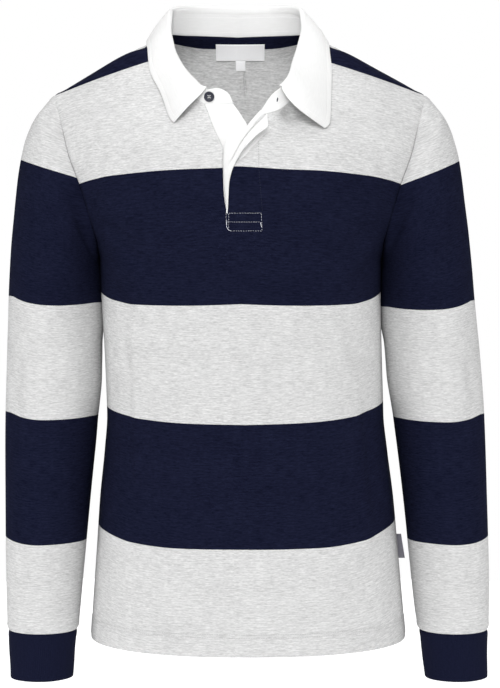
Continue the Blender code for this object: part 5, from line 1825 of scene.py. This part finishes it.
placket_stitches = [
    make_stitches(row["name"], [stitched_line(corners, front_surface) for corners in row["lines"]],
                  row["thread"], "striped_jersey", **row["sizes"])
    for row in records(PLACKET_LINES)]

# %% Collar, stand and label stitching
def collar_line():
    """Path down one end of the leaf, along its rim and up its other end, inside its edge."""
    points = leaf_surface[0]
    below = from_last(points)
    rim = line_at(leaf_surface, below, EDGE_STITCH)
    ends = []
    for surface in ([part[:, ::-1] for part in leaf_surface], leaf_surface):
        standing = [np.swapaxes(part, 0, 1) for part in surface]
        ends.append(line_at(standing, from_last(surface[0], 1).T, EDGE_STITCH))
    falls = slice(30, int(np.argmax(below[:, 5] <= EDGE_STITCH)))
    inside = np.minimum(step_lengths(points, 1), from_last(points, 1))[-12] > EDGE_STITCH
    return [np.concatenate([first[falls], along[inside], last[falls][::-1]])
            for first, along, last in zip(ends[0], rim, ends[1])]


stand_outer, stand_away, stand_inner = stand_surface
stand_lines = [(stand_outer[3], stand_away[3]), (stand_inner[2], -stand_away[2]),
               (stand_inner[9], -stand_away[9])]
facing_lines = [[part[:70, 12] for part in facing_surface]]
collar_stitches, stand_stitches, facing_stitches = [
    make_stitches(name, lines, WHITE_THREAD, "white_twill", radius=0.2)
    for name, lines in (("collar_stitches", [collar_line()]), ("stand_stitches", stand_lines),
                        ("facing_stitches", facing_lines))]
label_lines = [[part[:, column] for part in label_surface] for column in (2, -3)]
label_lines.append([part[2] for part in label_surface])
label_stitches = make_stitches("label_stitches", label_lines, WHITE_THREAD, "woven_label",
                               length=2.0, gap=0.5, radius=0.15)


# %% Buttonhole
BUTTONHOLE = {"x": 41.3, "z": -82.0, "half": 2.6, "width": 0.75, "lean": 12.0}


def make_buttonhole():
    """Dark lens painted as the shadow seen through the slit, on the stand where its front is nearest
    to x and z, and satin stitches that stand radially round it."""
    points, away = (part.reshape(-1, 3) for part in stand_surface[:2])
    reach = np.hypot(points[:, 0] - BUTTONHOLE["x"], points[:, 2] - BUTTONHOLE["z"])
    best = int(np.argmin(np.where(points[:, 1] < -80, reach, np.inf)))
    place = upright_frame(points[best], away[best])
    lean = math.radians(BUTTONHOLE["lean"])
    turn = np.linspace(0, 2 * math.pi, 32, endpoint=False)
    slim, tall = BUTTONHOLE["width"] * np.cos(turn), BUTTONHOLE["half"] * np.sin(turn)
    lens = np.stack([slim * math.cos(lean) + tall * math.sin(lean),
                     tall * math.cos(lean) - slim * math.sin(lean)], axis=-1)
    rings = [np.concatenate([lens * scale, np.full((len(lens), 1), height)], axis=-1)
             for scale, height in ((0, -0.3), (1, -0.3), (1, 0.06), (0, 0.06))]
    # The dark lens is painted shadow: the darkness seen through the buttonhole's slit.
    mesh = closed_mesh("buttonhole_slit", np.array(rings))
    settle(mesh, place)
    slit = wear(add_piece("buttonhole_slit", mesh), NAVY_THREAD_AND_SLIT_SHADOW)
    middle, across, up, outward = place
    lines = []
    for spot in lens:
        radial = unit(spot / (BUTTONHOLE["width"] ** 2, BUTTONHOLE["half"] ** 2))
        ends = np.stack([spot * 1.02, spot + radial * 1.2])
        path = middle + ends[:, :1] * across + ends[:, 1:] * up + 0.02 * outward
        lines.append((path, np.stack([outward, outward])))
    return slit, make_stitches("buttonhole_stitches", lines, WHITE_THREAD, "white_twill",
                               length=1.3, gap=0.1, radius=0.16)


buttonhole_pieces = make_buttonhole()


# %% Thread of the button
def make_button_thread():
    """Two loops over the front of the button, from hole to hole, and down through it."""
    middle, across, up, outward = button_frame
    lines = []
    offset = BUTTON["hole_offset"]
    t = np.linspace(-1, 1, 13)
    height = BUTTON["face"] + 0.42 * (1 - t ** 2) - 0.5 * (np.abs(t) > 0.95)
    for low, reach in ((-1, 1.0), (1, 0.45)):
        spots = np.stack([t * offset * reach, np.full_like(t, low * offset * 0.6), height], -1)
        path = middle + spots[:, :1] * across + spots[:, 1:2] * up + spots[:, 2:] * outward
        lines.append((path, np.broadcast_to(outward, path.shape)))
    return make_stitches("button_thread", lines, WHITE_THREAD, "navy_button", length=3.0, gap=0.1,
                         radius=0.42)


make_button_thread()

# %% [markdown]
# ## The cut
#
# Every piece of cloth was cut flat before it was sewn. Its width, length and area say how much cloth
# is in it.
# Each row is the layer that shows, with its turned-in edges, in metres.

# %% Flat cuts
CUTS = (("cloth", "width", "length", "area", "held", "rests_on", "with_pieces"),
        (front_piece, 0.592, 0.720, 0.311, "hung", [back_piece],
         [front_hem_stitches, *placket_stitches]),
        (back_piece, 0.617, 0.812, 0.330, "hung", ["wearer_shoulders"], [back_hem_stitches]),
        (sleeve_pieces["right"], 0.510, 0.632, 0.177, "hung", [front_piece, back_piece], []),
        (sleeve_pieces["left"], 0.510, 0.632, 0.177, "hung", [front_piece, back_piece], []),
        (cuff_pieces["right"], 0.245, 0.108, 0.0255, "folded", [sleeve_pieces["right"]], []),
        (cuff_pieces["left"], 0.245, 0.108, 0.0255, "folded", [sleeve_pieces["left"]], []),
        (stand_piece, 0.577, 0.034, 0.0127, "stretched", [front_piece, back_piece],
         [stand_stitches, *buttonhole_pieces]),
        (leaf_piece, 0.601, 0.087, 0.0364, "folded", [stand_piece, front_piece, back_piece],
         [collar_stitches]),
        (facing_piece, 0.078, 0.128, 0.0058, "folded", [front_piece], [facing_stitches]),
        (under_piece, 0.046, 0.151, 0.0065, "laid", [front_piece], []),
        (label_piece, 0.057, 0.0215, 0.00122, "laid", [back_piece], [label_stitches]),
        (tab_piece, 0.0118, 0.0130, 0.00015, "laid", [back_piece], []),
        (side_tab_piece, 0.028, 0.0156, 0.000436, "folded", [front_piece, back_piece], []))

print("cloth in the shirt: %.2f square metres" % sum(row["area"] for row in records(CUTS)))
